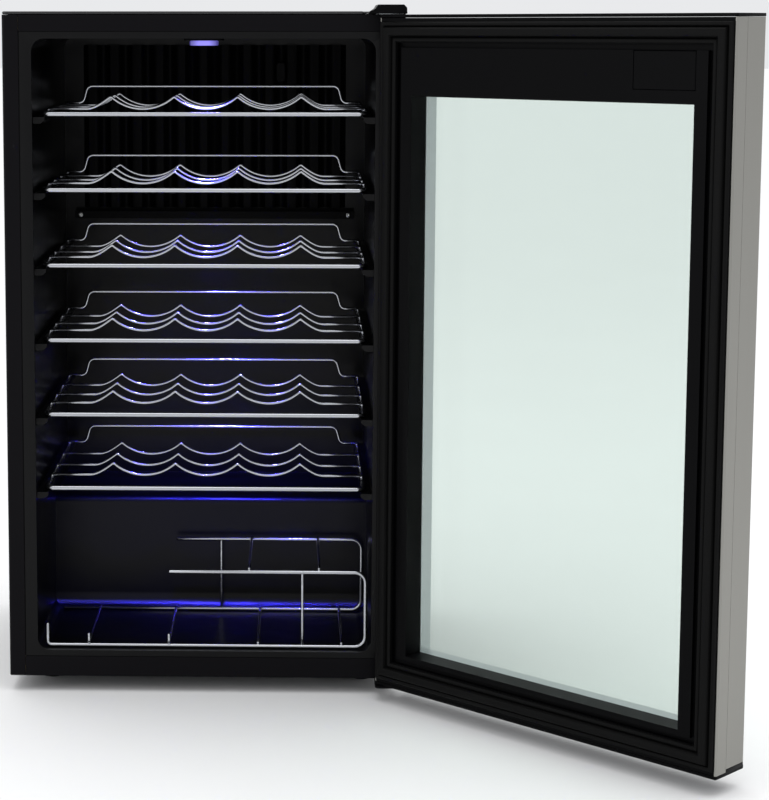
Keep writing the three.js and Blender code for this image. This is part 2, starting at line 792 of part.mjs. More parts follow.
const capPlan = roundedRectangle(-HALF_WIDTH, HALF_WIDTH, DOOR_OUTER, DOOR_INNER, 2.5);
const bushHole = post(BUSH + GAP, PIVOT_X, PIVOT_Y, DOOR_HIGH - BUSH_LENGTH - GAP, DOOR_HIGH + 1);
const bushHoleLow = post(BUSH + GAP, PIVOT_X, PIVOT_Y, DOOR_LOW - 1, DOOR_LOW + BUSH_LENGTH + GAP);
const capTop = cut(raise(capPlan, SKIN_HIGH + GAP, DOOR_HIGH, 3), bushHole, stepSpace(0));
const capBottom = cut(raise(capPlan, DOOR_LOW, SKIN_LOW - GAP, 3), bushHoleLow, stepSpace(0));
const lipLow = SKIN_LOW - GAP - 1;
const lipHigh = STILE_LOW - GAP;
const cappedEdge = join(
  capBottom,
  stile(-1, 0, lipLow, lipHigh),
  stile(1, STEP_X, lipLow, lipHigh),
  rail(lipLow, lipHigh),
);
add(door, "door_cap_top", capTop, finishes.blackPlastic);
add(door, "door_cap_bottom", cappedEdge, finishes.blackPlastic);

function bush(z0, z1) {
  const bore = post(PIN + 0.15, PIVOT_X, PIVOT_Y, z0 - 1, z1 + 1, 24);
  return cut(post(BUSH, PIVOT_X, PIVOT_Y, z0, z1), bore);
}
add(door, "hinge_bush_top", bush(DOOR_HIGH - BUSH_LENGTH, DOOR_HIGH), finishes.blackPlastic);
add(door, "hinge_bush_bottom", bush(DOOR_LOW, DOOR_LOW + BUSH_LENGTH), finishes.blackPlastic);

// The glazing unit: outer pane, spacer and inner pane
const PANE_OUTER = DOOR_OUTER + SHEET + GAP;
const PANE_INNER_FACE = DOOR_INNER - GLASS_RECESS;
const WINDOW_X = HALF_WIDTH - WINDOW_SIDE;
const UNIT_MARGIN = 12;
const OUTER_PANE_HALF = 228;
const OUTER_PANE_LOW = 36;
const OUTER_PANE_HIGH = 813;
const outerPane = box(
  -OUTER_PANE_HALF,
  OUTER_PANE_HALF,
  PANE_OUTER,
  PANE_OUTER + GLASS,
  OUTER_PANE_LOW,
  OUTER_PANE_HIGH,
);
add(door, "outer_pane", outerPane, finishes.glass);
const innerPane = box(
  -WINDOW_X - UNIT_MARGIN + GAP,
  WINDOW_X + UNIT_MARGIN - GAP,
  PANE_INNER_FACE - GLASS,
  PANE_INNER_FACE,
  WINDOW_LOW - UNIT_MARGIN + GAP,
  WINDOW_HIGH + UNIT_MARGIN - GAP,
);
add(door, "inner_pane", innerPane, finishes.glass);

const windowPrism = (grow, y0, y1) =>
  box(
    -WINDOW_X - grow,
    WINDOW_X + grow,
    y0,
    y1,
    WINDOW_LOW - grow,
    WINDOW_HIGH + grow,
  );
const SPACER_FRONT = PANE_OUTER + GLASS + GAP;
const SPACER_BACK = PANE_INNER_FACE - GLASS - GAP;
const spacer = cut(
  windowPrism(UNIT_MARGIN - GAP, SPACER_FRONT, SPACER_BACK),
  windowPrism(2, SPACER_FRONT - 1, SPACER_BACK + 1),
);
add(door, "glass_spacer", spacer, finishes.aluminium);

// A square-section ring set in from the door's edges.
function sealRing(inset, width, y0, y1) {
  const ring = (edge, spare) =>
    box(
      -HALF_WIDTH + edge,
      HALF_WIDTH - edge,
      y0 - spare,
      y1 + spare,
      DOOR_LOW + GASKET_MARGIN + edge,
      DOOR_HIGH - GASKET_MARGIN - edge,
    );
  const outer = ring(inset, 0);
  const inner = ring(inset + width, 1);
  return cut(outer, inner);
}

// The moulded inner frame, which holds the glass, the seal and the control module
const MODULE_X0 = -192;
const MODULE_X1 = -115;
const MODULE_Z0 = 749;
const MODULE_Z1 = 790;
const modulePrism = (grow, y0, y1) =>
  box(
    MODULE_X0 - grow,
    MODULE_X1 + grow,
    y0,
    y1,
    MODULE_Z0 - grow,
    MODULE_Z1 + grow,
  );
const frameBlank = box(
  -HALF_WIDTH + SHEET + GAP,
  HALF_WIDTH - SHEET - GAP,
  PANE_OUTER + GLASS + GAP,
  DOOR_INNER - SHEET - GAP,
  SKIN_LOW + GAP,
  SKIN_HIGH - GAP,
);
const frameFace = box(
  -HALF_WIDTH + 3,
  HALF_WIDTH - 3,
  DOOR_INNER - 4,
  DOOR_INNER,
  SKIN_LOW + GAP,
  SKIN_HIGH - GAP,
);
const grooveEdge = GASKET_EDGE + GASKET_WIDTH + GAP;
const groove = sealRing(grooveEdge, GROOVE_WIDTH, DOOR_INNER - GROOVE_DEPTH, DOOR_INNER + 1);
const doorFrame = cut(
  join(frameBlank, frameFace),
  windowPrism(0, PANE_INNER_FACE - 1, DOOR_INNER + 1),
  windowPrism(UNIT_MARGIN, PANE_OUTER, PANE_INNER_FACE + GAP),
  groove,
  modulePrism(GAP, PANE_OUTER, DOOR_INNER + 1),
  stepSpace(SHEET + GAP),
  bushHole,
  bushHoleLow,
);
add(door, "door_inner_frame", doorFrame, finishes.blackPlastic);

const controlModule = modulePrism(0, PANE_OUTER + GLASS + GAP, DOOR_INNER + 0.3);
add(door, "control_module", controlModule, finishes.blackPlastic);

const GASKET_FACE = -0.4;
const GASKET_BACK = DOOR_INNER + GAP;
const sealBase = sealRing(GASKET_EDGE, GASKET_WIDTH, GASKET_BACK, -4);
const sealShoulder = sealRing(GASKET_EDGE + 2.5, GASKET_WIDTH - 4, -5, -2);
const sealFace = sealRing(GASKET_EDGE + 7, GASKET_WIDTH - 11, -3, GASKET_FACE);
add(door, "door_gasket", join(sealBase, sealShoulder, sealFace), finishes.blackRubber);

// Handle
const HANDLE_X = -HALF_WIDTH + HANDLE_INSET;
const HANDLE_Y = DOOR_OUTER - HANDLE_STANDOFF - HANDLE_RADIUS;
const handleBar = post(HANDLE_RADIUS, HANDLE_X, HANDLE_Y, HANDLE_LOW, HANDLE_HIGH);
add(door, "handle_bar", handleBar, finishes.stainless);
const handlePost = (z) =>
  rod(5, HANDLE_X, z, HANDLE_Y + HANDLE_RADIUS + GAP, PANE_OUTER - GAP - SHEET - GAP);
add(door, "handle_post_lower", handlePost(HANDLE_LOW + POST_INSET), finishes.stainless);
add(door, "handle_post_upper", handlePost(HANDLE_HIGH - POST_INSET), finishes.stainless);

// ---- Bottle racks -------------------------------------------------------

// One rising cradle wire: shallow arcs that meet in points between the bottles.
function cradleLine(y) {
  const line = [];
  const put = (x, z) => line.push(new THREE.Vector3(x, y, z + WELD_RISE));
  const half = BOTTLE_PITCH / 2;
  const radius = (half * half + CRADLE_RISE * CRADLE_RISE) / (2 * CRADLE_RISE);
  const crest = 1.5 * BOTTLE_PITCH;
  put(-RACK_HALF, 0);
  put(-crest - CRADLE_RUN_OUT, 0);
  put(-crest - CRADLE_RUN_OUT / 2, CRADLE_RISE * 0.3);
  for (let i = 0; i <= 15; i += 1) {
    const x = -crest + (i * BOTTLE_PITCH) / 5;
    const offset = x - Math.round(x / BOTTLE_PITCH) * BOTTLE_PITCH;
    put(x, radius - Math.sqrt(radius * radius - offset * offset));
  }
  put(crest + CRADLE_RUN_OUT / 2, CRADLE_RISE * 0.3);
  put(crest + CRADLE_RUN_OUT, 0);
  put(RACK_HALF, 0);
  return line;
}

function rackGeometry() {
  const frameLine = bent(
    [
      [-RACK_HALF, RACK_BACK + 4, 0],
      [-RACK_HALF, RACK_FRONT, 0],
      [RACK_HALF, RACK_FRONT, 0],
      [RACK_HALF, RACK_BACK + 4, 0],
    ],
    9,
  );
  const railLine = bent(
    [
      [-RACK_HALF, RACK_BACK, WELD_RISE],
      [-RAIL_FOOT_X, RACK_BACK, WELD_RISE],
      [-RAIL_TOP_X, RACK_BACK, WELD_RISE + RAIL_RISE],
      [RAIL_TOP_X, RACK_BACK, WELD_RISE + RAIL_RISE],
      [RAIL_FOOT_X, RACK_BACK, WELD_RISE],
      [RACK_HALF, RACK_BACK, WELD_RISE],
    ],
    9,
    2,
  );
  const cradles = CRADLE_ROWS.map((y) => wire(cradleLine(y), CRADLE_WIRE, 6));
  return join(wire(frameLine, FRAME_WIRE), wire(railLine, RAIL_WIRE, 6), ...cradles);
}

const rack = rackGeometry();
rackHeights.forEach((height, i) => {
  const mesh = add(cooler, `rack_${i + 1}`, rack, finishes.chrome);
  mesh.position.z = height;
});

// ---- Bottle basket ------------------------------------------------------

function basketFrame(y, ...leftEnd) {
  const line = bent(
    [
      ...leftEnd,
      [BASKET_RIGHT, y, BASKET_LOW],
      [BASKET_RIGHT, y, BASKET_HIGH],
      [BASKET_OPEN_END, y, BASKET_HIGH],
    ],
    12,
  );
  return wire(line, BASKET_RAIL);
}

const STRAND = 1.75;
const ON_RAIL = 3.7;
const STUB_HEIGHT = 28;
const STUB_BEND = 5;
const BACK_END = -192;
const frontStub = [
  [BASKET_LEFT, BASKET_FRONT, BASKET_LOW + STUB_HEIGHT],
  [BASKET_LEFT, BASKET_FRONT, BASKET_LOW, STUB_BEND],
];
const lowStrand = (x, hook) => {
  const z = BASKET_LOW + ON_RAIL;
  const corners = [[x, BASKET_BACK + 3, z], [x, BASKET_FRONT - 2, z]];
  return hook
    ? wire(bent([...corners, [x, BASKET_FRONT - 2, z + 12]], 3, 2), STRAND, 6)
    : wire(bent(corners, 3), STRAND, 6);
};
const highStrand = (x) => {
  const z = BASKET_HIGH + ON_RAIL;
  return wire(bent([[x, BASKET_BACK + 3, z], [x, BASKET_FRONT - 3, z]], 3), STRAND, 6);
};
const basket = join(
  basketFrame(BASKET_FRONT, ...frontStub),
  basketFrame(BASKET_BACK, [BACK_END, BASKET_BACK, BASKET_LOW]),
  post(STRAND, 120.6, BASKET_FRONT, BASKET_LOW, BASKET_HIGH, 6),
  post(STRAND, 15, BASKET_BACK, BASKET_LOW, BASKET_HIGH, 6),
  lowStrand(-143, true),
  lowStrand(-44, true),
  lowStrand(66, false),
  lowStrand(169, false),
  highStrand(55),
  highStrand(141),
);
add(cooler, "bottle_basket", basket, finishes.chrome);

// ---- Feet ---------------------------------------------------------------

function footGeometry(x, y) {
  const profile = [
    [0, 0],
    [FOOT_RADIUS - 2, 0],
    [FOOT_RADIUS, 2],
    [FOOT_RADIUS - 1, 9],
    [9, 11],
    [9, BASE_Z - GAP],
    [0, BASE_Z - GAP],
  ].map(([r, z]) => new THREE.Vector2(r, z));
  return new THREE.LatheGeometry(profile, 20).rotateX(Math.PI / 2).translate(x, y, 0);
}

const feet = [
  ["foot_front_left", -FOOT_X, FOOT_FRONT_Y],
  ["foot_front_right", FOOT_X, FOOT_FRONT_Y],
  ["foot_rear_left", -FOOT_X, FOOT_BACK_Y],
  ["foot_rear_right", FOOT_X, FOOT_BACK_Y],
];
for (const [name, x, y] of feet) {
  add(cooler, name, footGeometry(x, y), finishes.blackRubber);
}

// ---- Origin: the middle of the footprint, on the floor --------------------

const bounds = new THREE.Box3().setFromObject(cooler, true);
const middle = bounds.getCenter(new THREE.Vector3());
cooler.position.set(-middle.x, -middle.y, 0);

export default cooler;
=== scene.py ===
import json
import math

import bmesh
import bpy
from mathutils import Matrix, Vector


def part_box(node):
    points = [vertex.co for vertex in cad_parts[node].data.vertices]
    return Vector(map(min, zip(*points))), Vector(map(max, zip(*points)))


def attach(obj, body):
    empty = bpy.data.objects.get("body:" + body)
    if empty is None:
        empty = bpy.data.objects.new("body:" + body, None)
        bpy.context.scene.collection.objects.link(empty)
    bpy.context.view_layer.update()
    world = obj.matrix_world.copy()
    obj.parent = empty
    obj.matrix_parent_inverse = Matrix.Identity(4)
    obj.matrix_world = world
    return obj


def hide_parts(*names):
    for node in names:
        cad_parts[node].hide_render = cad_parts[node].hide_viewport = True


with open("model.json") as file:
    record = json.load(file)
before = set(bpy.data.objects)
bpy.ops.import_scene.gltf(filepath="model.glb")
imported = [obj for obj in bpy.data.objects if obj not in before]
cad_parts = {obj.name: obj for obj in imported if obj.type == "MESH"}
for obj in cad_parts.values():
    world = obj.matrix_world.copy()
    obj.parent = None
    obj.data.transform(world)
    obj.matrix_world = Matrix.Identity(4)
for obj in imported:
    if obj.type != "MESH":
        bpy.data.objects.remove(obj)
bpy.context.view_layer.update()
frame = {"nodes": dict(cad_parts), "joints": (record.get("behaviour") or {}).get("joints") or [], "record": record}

# ---- Outer cabinet ------------------------------------------------------
# Two folded steel side panels, a top skin with its header and a base pan with its kick rail.
# Each is pressed from sheet, sprayed black and stoved, and they lock round the foam.

MM = 0.001
CABINET_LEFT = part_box("side_panel_left")[0].x
CABINET_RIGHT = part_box("side_panel_right")[1].x
CENTRE_X = (CABINET_LEFT + CABINET_RIGHT) / 2
FRONT_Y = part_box("side_panel_left")[0].y


def at(x, y, z):
    """A point from millimetres: across from the cabinet's middle, back from its front, and up."""
    return Vector((CENTRE_X + x * MM, FRONT_Y + y * MM, z * MM))


def linear(hex_colour, alpha=1.0):
    """An sRGB hex colour as Blender's linear one."""
    channels = [int(hex_colour[i : i + 2], 16) / 255 for i in (1, 3, 5)]
    return [c / 12.92 if c <= 0.04045 else ((c + 0.055) / 1.055) ** 2.4 for c in channels] + [alpha]


def put(tree, kind, settings=None, links=None):
    """Adds a node, sets its properties or input values, and links its inputs to other nodes' outputs."""
    node = tree.nodes.new(kind)
    for key, value in (settings or {}).items():
        if isinstance(key, str) and hasattr(node, key):
            setattr(node, key, value)
        else:
            node.inputs[key].default_value = value
    for key, output in (links or {}).items():
        tree.links.new(output, node.inputs[key])
    return node


def material(name, colour, roughness, metallic=0.0, **extra):
    """A named material with its Principled shader set, its tree and its object coordinates."""
    made = bpy.data.materials.new(name)
    made.use_nodes = True
    tree = made.node_tree
    shader = tree.nodes["Principled BSDF"]
    shader.inputs["Base Color"].default_value = linear(colour)
    shader.inputs["Roughness"].default_value = roughness
    shader.inputs["Metallic"].default_value = metallic
    for key, value in extra.items():
        shader.inputs[key.replace("_", " ")].default_value = value
    place = put(tree, "ShaderNodeTexCoord").outputs["Object"]
    return made, tree, shader, place


def waves_per_metre(size_mm):
    """The texture scale at which one feature is this many millimetres across."""
    return 1000 / size_mm


# Stoved black enamel: a nearly black satin coat whose faint orange peel breaks up its reflections.
ENAMEL_PEEL = 1.6
enamel, tree, shader, place = material(
    "stoved_black_enamel", "#0b0a0d", 0.36, Specular_IOR_Level=0.06
)
peel = put(
    tree,
    "ShaderNodeTexNoise",
    {"Scale": waves_per_metre(ENAMEL_PEEL), "Detail": 2.0},
    {"Vector": place},
)
bump = put(
    tree,
    "ShaderNodeBump",
    {"Strength": 0.12, "Distance": 0.0002},
    {"Height": peel.outputs["Fac"]},
)
tree.links.new(bump.outputs["Normal"], shader.inputs["Normal"])
handling = put(
    tree,
    "ShaderNodeTexNoise",
    {"Scale": waves_per_metre(90), "Detail": 4.0},
    {"Vector": place},
)
wipe = put(
    tree,
    "ShaderNodeMapRange",
    {"From Min": 0.35, "From Max": 0.7, "To Min": 0.32, "To Max": 0.46},
    {"Value": handling.outputs["Fac"]},
)
tree.links.new(wipe.outputs["Result"], shader.inputs["Roughness"])


def show(name, mesh, body, finish, stands_for=()):
    """Puts a finished mesh in the scene on its body, in place of the nodes that it stands for."""
    piece = bpy.data.objects.new(name, mesh)
    bpy.context.scene.collection.objects.link(piece)
    if finish is not None:
        mesh.materials.clear()
        mesh.materials.append(finish)
    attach(piece, body)
    if stands_for:
        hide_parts(*stands_for)
    return piece


SHARP_FOLD = math.radians(38.0)
BODY_OF = {
    node: body
    for body, nodes in frame["record"]["behaviour"]["bodies"].items()
    for node in nodes
}


def softened(node, finish, width, segments=3):
    """A node's solid with its sharp edges rounded by width in millimetres, as forming leaves them."""
    shape = bmesh.new()
    shape.from_mesh(frame["nodes"][node].data)
    bmesh.ops.remove_doubles(shape, verts=shape.verts, dist=1e-6)
    bmesh.ops.dissolve_limit(
        shape, angle_limit=math.radians(0.6), verts=shape.verts, edges=shape.edges
    )
    mesh = bpy.data.meshes.new(f"{node}_finished")
    shape.to_mesh(mesh)
    shape.free()
    for face in mesh.polygons:
        face.use_smooth = True
    mesh.set_sharp_from_angle(angle=SHARP_FOLD)
    piece = show(f"{node}_finished", mesh, BODY_OF[node], finish, (node,))
    bevel = piece.modifiers.new("edge", "BEVEL")
    bevel.width = width * MM
    bevel.segments = segments
    bevel.limit_method = "ANGLE"
    bevel.angle_limit = SHARP_FOLD
    bevel.harden_normals = True
    bevel.use_clamp_overlap = True


for node in ("side_panel_left", "side_panel_right", "top_skin", "base_pan"):
    softened(node, enamel, 0.35)

# ---- Top lid ------------------------------------------------------------
# A shallow moulded lid lies over the top skin, notched round the hinge.
# It is textured ABS, clipped on from behind.

# Spark-textured ABS: the fine grain of the mould spreads light, so the lid reads grey under a lamp.
LID_GRAIN = 0.9
lid_plastic, tree, shader, place = material(
    "spark_textured_abs", "#161618", 0.32, Specular_IOR_Level=0.5
)
grain = put(
    tree,
    "ShaderNodeTexVoronoi",
    {"Scale": waves_per_metre(LID_GRAIN)},
    {"Vector": place},
)
bump = put(
    tree,
    "ShaderNodeBump",
    {"Strength": 0.1, "Distance": 0.0002},
    {"Height": grain.outputs["Distance"]},
)
tree.links.new(bump.outputs["Normal"], shader.inputs["Normal"])
softened("top_lid", lid_plastic, 1.6, 4)

# ---- Back panel and compressor bay sheet --------------------------------
# The back is a flat galvanised sheet with two pressed beads, held by pan-head screws.
# A second sheet is folded over the compressor bay.

# Hot-dip galvanised steel: dull zinc with the frosty patchwork of its crystals.
SPANGLE = 9.0
zinc, tree, shader, place = material("galvanised_sheet", "#9a9ea1", 0.42, 1.0)
spangle = put(
    tree,
    "ShaderNodeTexVoronoi",
    {"Scale": waves_per_metre(SPANGLE)},
    {"Vector": place},
)
grey = put(
    tree,
    "ShaderNodeSeparateColor",
    links={"Color": spangle.outputs["Color"]},
)
tone = put(tree, "ShaderNodeValToRGB", links={"Fac": grey.outputs["Red"]})
tone.color_ramp.elements[0].color = linear("#909497")
tone.color_ramp.elements[1].color = linear("#a2a6a8")
tree.links.new(tone.outputs["Color"], shader.inputs["Base Color"])
frost = put(
    tree,
    "ShaderNodeMapRange",
    {"To Min": 0.34, "To Max": 0.52},
    {"Value": grey.outputs["Green"]},
)
tree.links.new(frost.outputs["Result"], shader.inputs["Roughness"])


def prism(shape, outline, axis, start, end):
    """Adds to a bmesh an outline in millimetres, run along one axis from start to end.

    The outline's two numbers are the other two axes, in x, y, z order.
    """

    def corner(pair, along):
        spot = list(pair)
        spot.insert("xyz".index(axis), along)
        return at(*spot)

    near = [shape.verts.new(corner(pair, start)) for pair in outline]
    far = [shape.verts.new(corner(pair, end)) for pair in outline]
    count = len(outline)
    for i in range(count):
        j = (i + 1) % count
        shape.faces.new((near[i], near[j], far[j], far[i]))
    shape.faces.new(near[::-1])
    shape.faces.new(far)


def rounded(x0, x1, y0, y1, radius, steps=6):
    """A rectangle's outline with arcs at its corners."""
    points = []
    corners = ((x1, y0, -90), (x1, y1, 0), (x0, y1, 90), (x0, y0, 180))
    for x, y, start in corners:
        cx = x - radius if x == x1 else x + radius
        cy = y - radius if y == y1 else y + radius
        for i in range(steps + 1):
            angle = math.radians(start + 90 * i / steps)
            points.append((cx + radius * math.cos(angle), cy + radius * math.sin(angle)))
    return points


def finish_mesh(name, shape, smooth_angle=38.0):
    """Closes a bmesh into a mesh with outward faces and smooth shading up to an angle."""
    bmesh.ops.remove_doubles(shape, verts=shape.verts, dist=1e-7)
    bmesh.ops.recalc_face_normals(shape, faces=shape.faces)
    mesh = bpy.data.meshes.new(name)
    shape.to_mesh(mesh)
    shape.free()
    for face in mesh.polygons:
        face.use_smooth = True
    mesh.set_sharp_from_angle(angle=math.radians(smooth_angle))
    return mesh


softened("back_panel", zinc, 0.3)
softened("bay_panel", zinc, 0.4)

BACK_FACE = 404.0
BEAD_HALF = 5.0
BEAD_RISE = 2.2
beads = bmesh.new()
for bead_x in (-120.0, 120.0):
    section = []
    for i in range(9):
        angle = math.pi * i / 8
        section.append((bead_x - BEAD_HALF * math.cos(angle), BACK_FACE + BEAD_RISE * math.sin(angle)))
    prism(beads, section, "z", 240, 770)
show(
    "back_panel_beads",
    finish_mesh("back_panel_beads", beads),
    "cabinet",
    zinc,
)

# ---- Screws -------------------------------------------------------------
# Pan-head cross-recess screws hold the back, the drip gutter and the bay's parts.
# Zinc-plated steel, each head a low dome with a cross pressed in.

zinc_plate, tree, shader, place = material("zinc_plated_screw", "#b4b6b4", 0.28, 1.0)
tarnish = put(
    tree,
    "ShaderNodeTexNoise",
    {"Scale": waves_per_metre(2.5)},
    {"Vector": place},
)
dull = put(
    tree,
    "ShaderNodeMapRange",
    {"To Min": 0.2, "To Max": 0.42},
    {"Value": tarnish.outputs["Fac"]},
)
tree.links.new(dull.outputs["Result"], shader.inputs["Roughness"])


def lathe(shape, profile, origin, axis, turns=32):
    """Adds a profile of (radius, height) pairs in millimetres turned about an axis through origin."""
    direction = Vector(axis).normalized()
    across = direction.orthogonal().normalized()
    side = direction.cross(across)
    rings = []
    for radius, height in profile:
        if radius == 0:
            rings.append([shape.verts.new(origin + direction * height * MM)])
            continue
        ring = []
        for i in range(turns):
            angle = 2 * math.pi * i / turns
            out = across * math.cos(angle) + side * math.sin(angle)
            ring.append(shape.verts.new(origin + (out * radius + direction * height) * MM))
        rings.append(ring)
    for low, high in zip(rings, rings[1:]):
        for i in range(turns):
            j = (i + 1) % turns
            quad = [low[i % len(low)], low[j % len(low)], high[j % len(high)], high[i % len(high)]]
            face = list(dict.fromkeys(quad))
            if len(face) > 2:
                shape.faces.new(face)


def screw_head(shape, origin, axis, radius=3.4):
    """Adds a pan head with a four-way recess."""
    rise = radius * 0.62
    dome = [(radius, 0), (radius, rise * 0.35)]
    dome += [
        (radius * math.cos(math.radians(a)), rise * (0.35 + 0.65 * math.sin(math.radians(a))))
        for a in (20, 40, 58)
    ]
    recess = radius * 0.46
    dome += [(recess, rise * 0.96), (recess * 0.8, rise * 0.5), (0, rise * 0.42)]
    lathe(shape, [(0, 0)] + dome, origin, axis, 24)


back_screws = bmesh.new()
for z in (186, 330, 500, 670, 812):
    for x in (-229, 229):
        screw_head(back_screws, at(x, BACK_FACE, z), (0, 1, 0))
for x in (-115, 0, 115):
    screw_head(back_screws, at(x, BACK_FACE, 816), (0, 1, 0))
    screw_head(back_screws, at(x, BACK_FACE, 183), (0, 1, 0))
show(
    "back_panel_screws",
    finish_mesh("back_panel_screws", back_screws),
    "cabinet",
    zinc_plate,
)

# ---- Liner --------------------------------------------------------------
# The lined space is one sheet of black polystyrene drawn over a mould by vacuum,
# with the rack ledges and the step over the compressor formed in it.

# Vacuum-formed black polystyrene: a glossy skin that waves slightly where the hot sheet was stretched.
DRAWN_WAVE = 38.0
liner_plastic, tree, shader, place = material(
    "vacuum_formed_polystyrene", "#040405", 0.28, Specular_IOR_Level=0.14
)
stretch = put(
    tree,
    "ShaderNodeTexNoise",
    {"Scale": waves_per_metre(DRAWN_WAVE), "Detail": 1.0},
    {"Vector": place},
)
bump = put(
    tree,
    "ShaderNodeBump",
    {"Strength": 0.5, "Distance": 0.0012},
    {"Height": stretch.outputs["Fac"]},
)
tree.links.new(bump.outputs["Normal"], shader.inputs["Normal"])
softened("inner_liner", liner_plastic, 0.8, 3)

# Closed-cell tape: dull black sponge that closes the seam between the liner's flange and the shell.
sponge, tree, shader, place = material(
    "closed_cell_foam_tape", "#0a0a0a", 0.8, Specular_IOR_Level=0.1
)
pores = put(tree, "ShaderNodeTexNoise", {"Scale": waves_per_metre(1)}, {"Vector": place})
bump = put(
    tree,
    "ShaderNodeBump",
    {"Strength": 0.3, "Distance": 0.0002},
    {"Height": pores.outputs["Fac"]},
)
tree.links.new(bump.outputs["Normal"], shader.inputs["Normal"])
FLANGE_X = 219.9
FLANGE_LOW = 45.0
FLANGE_HIGH = 809.2
TAPE_WIDTH = 3.0
TAPE_FRONT = 1.25
TAPE_BACK = 2.9
tape = bmesh.new()
for near, far in ((-FLANGE_X - TAPE_WIDTH, -FLANGE_X), (FLANGE_X, FLANGE_X + TAPE_WIDTH)):
    prism(tape, rounded(near, far, TAPE_FRONT, TAPE_BACK, 0.4, 2), "z", FLANGE_LOW, FLANGE_HIGH)
for near, far in ((FLANGE_LOW - TAPE_WIDTH, FLANGE_LOW), (FLANGE_HIGH, FLANGE_HIGH + TAPE_WIDTH)):
    prism(tape, rounded(TAPE_FRONT, TAPE_BACK, near, far, 0.4, 2), "x", -FLANGE_X, FLANGE_X)
show("liner_edge_tape", finish_mesh("liner_edge_tape", tape), "cabinet", sponge)

# The foam behind the liner is foamed in place and never seen.
# Rigid polyurethane foam: matt cream with open bubbles.
foam, tree, shader, place = material("polyurethane_foam", "#d9c48c", 0.9)
cells = put(tree, "ShaderNodeTexVoronoi", {"Scale": waves_per_metre(1.5)}, {"Vector": place})
bump = put(
    tree,
    "ShaderNodeBump",
    {"Strength": 0.5, "Distance": 0.0005},
    {"Height": cells.outputs["Distance"]},
)
tree.links.new(bump.outputs["Normal"], shader.inputs["Normal"])
frame["nodes"]["insulation_foam"].data.materials.clear()
frame["nodes"]["insulation_foam"].data.materials.append(foam)

# ---- Cooling plate, gutter and sensor -----------------------------------
# A roll-formed plate with upright ribs covers the evaporator on the rear wall. Frost melts
# from it into a moulded gutter, and a small cover shields the temperature sensor.

# Black-coated aluminium: a dark matt coat whose ribs only show where light grazes them.
plate_coat, tree, shader, place = material(
    "black_coated_aluminium", "#050506", 0.46, 0.0, Specular_IOR_Level=0.05
)
rolled = put(
    tree,
    "ShaderNodeTexNoise",
    {"Scale": waves_per_metre(3), "Detail": 3.0},
    {"Vector": place},
)
bump = put(
    tree,
    "ShaderNodeBump",
    {"Strength": 0.15, "Distance": 0.0003},
    {"Height": rolled.outputs["Fac"]},
)
tree.links.new(bump.outputs["Normal"], shader.inputs["Normal"])

RIB_PITCH = 30.0
PLATE_HALF = 178.0
PLATE_BACK = 363.0
RIB_DEPTH = 9.0
face_line = []
RIB_STEPS = 144
for i in range(RIB_STEPS + 1):
    x = -PLATE_HALF + 2 * PLATE_HALF * i / RIB_STEPS
    wave = 0.5 - 0.5 * math.cos(2 * math.pi * x / RIB_PITCH)
    face_line.append((x, PLATE_BACK - RIB_DEPTH * min(1.0, wave * 1.5)))
ribs = bmesh.new()
prism(ribs, face_line + [(x, y + 1.0) for x, y in reversed(face_line)], "z", 570, 790)
show(
    "evaporator_plate_ribbed",
    finish_mesh("evaporator_plate_ribbed", ribs),
    "cabinet",
    plate_coat,
    ("evaporator_plate",),
)

# Injection-moulded black ABS: satin, with the fine even grain of an etched mould.
ABS_GRAIN = 0.7
moulded_abs, tree, shader, place = material(
    "etched_black_abs", "#040405", 0.36, Specular_IOR_Level=0.05
)
etched = put(
    tree,
    "ShaderNodeTexNoise",
    {"Scale": waves_per_metre(ABS_GRAIN), "Detail": 2.0},
    {"Vector": place},
)
bump = put(
    tree,
    "ShaderNodeBump",
    {"Strength": 0.12, "Distance": 0.0001},
    {"Height": etched.outputs["Fac"]},
)
tree.links.new(bump.outputs["Normal"], shader.inputs["Normal"])
softened("drip_gutter", moulded_abs, 0.4)
softened("sensor_cover", moulded_abs, 1.0, 3)

gutter_screws = bmesh.new()
for x in (-182, 182):
    screw_head(gutter_screws, at(x, 343, 561), (0, -1, 0), 3.6)
show(
    "gutter_screws",
    finish_mesh("gutter_screws", gutter_screws),
    "cabinet",
    zinc_plate,
)

# ---- Ceiling lamp -------------------------------------------------------
# Blue-white diodes sit behind a clear prismatic lens in a small housing under the ceiling.
# The lens is moulded acrylic, ribbed across so that it spreads the light.

LAMP_LEAN = math.radians(22)
LAMP_SPREAD = math.radians(48)
LAMP_GLOW = "#3c34ff"
lens_acrylic, tree, shader, place = material(
    "ribbed_acrylic_lens",
    "#12123a",
    0.12,
    Emission_Strength=1.0,
)
span = put(tree, "ShaderNodeSeparateXYZ", links={"Vector": place})
offset = put(
    tree,
    "ShaderNodeMath",
    {"operation": "SUBTRACT", 1: CENTRE_X},
    {0: span.outputs["X"]},
)
away = put(tree, "ShaderNodeMath", {"operation": "ABSOLUTE"}, {0: offset.outputs[0]})
fade = put(
    tree,
    "ShaderNodeMapRange",
    {"From Min": 6 * MM, "From Max": 19 * MM, "To Min": 0.0, "To Max": 1.0},
    {"Value": away.outputs[0]},
)
glow = put(tree, "ShaderNodeValToRGB", links={"Fac": fade.outputs["Result"]})
glow.color_ramp.elements[0].color = linear("#9890ff")
glow.color_ramp.elements[1].color = linear("#1c1650")
tree.links.new(glow.outputs["Color"], shader.inputs["Emission Color"])
flutes = put(
    tree,
    "ShaderNodeTexWave",
    {"Scale": waves_per_metre(3) / 20},
    {"Vector": place},
)
bump = put(
    tree,
    "ShaderNodeBump",
    {"Strength": 0.4, "Distance": 0.0004},
    {"Height": flutes.outputs["Fac"]},
)
tree.links.new(bump.outputs["Normal"], shader.inputs["Normal"])
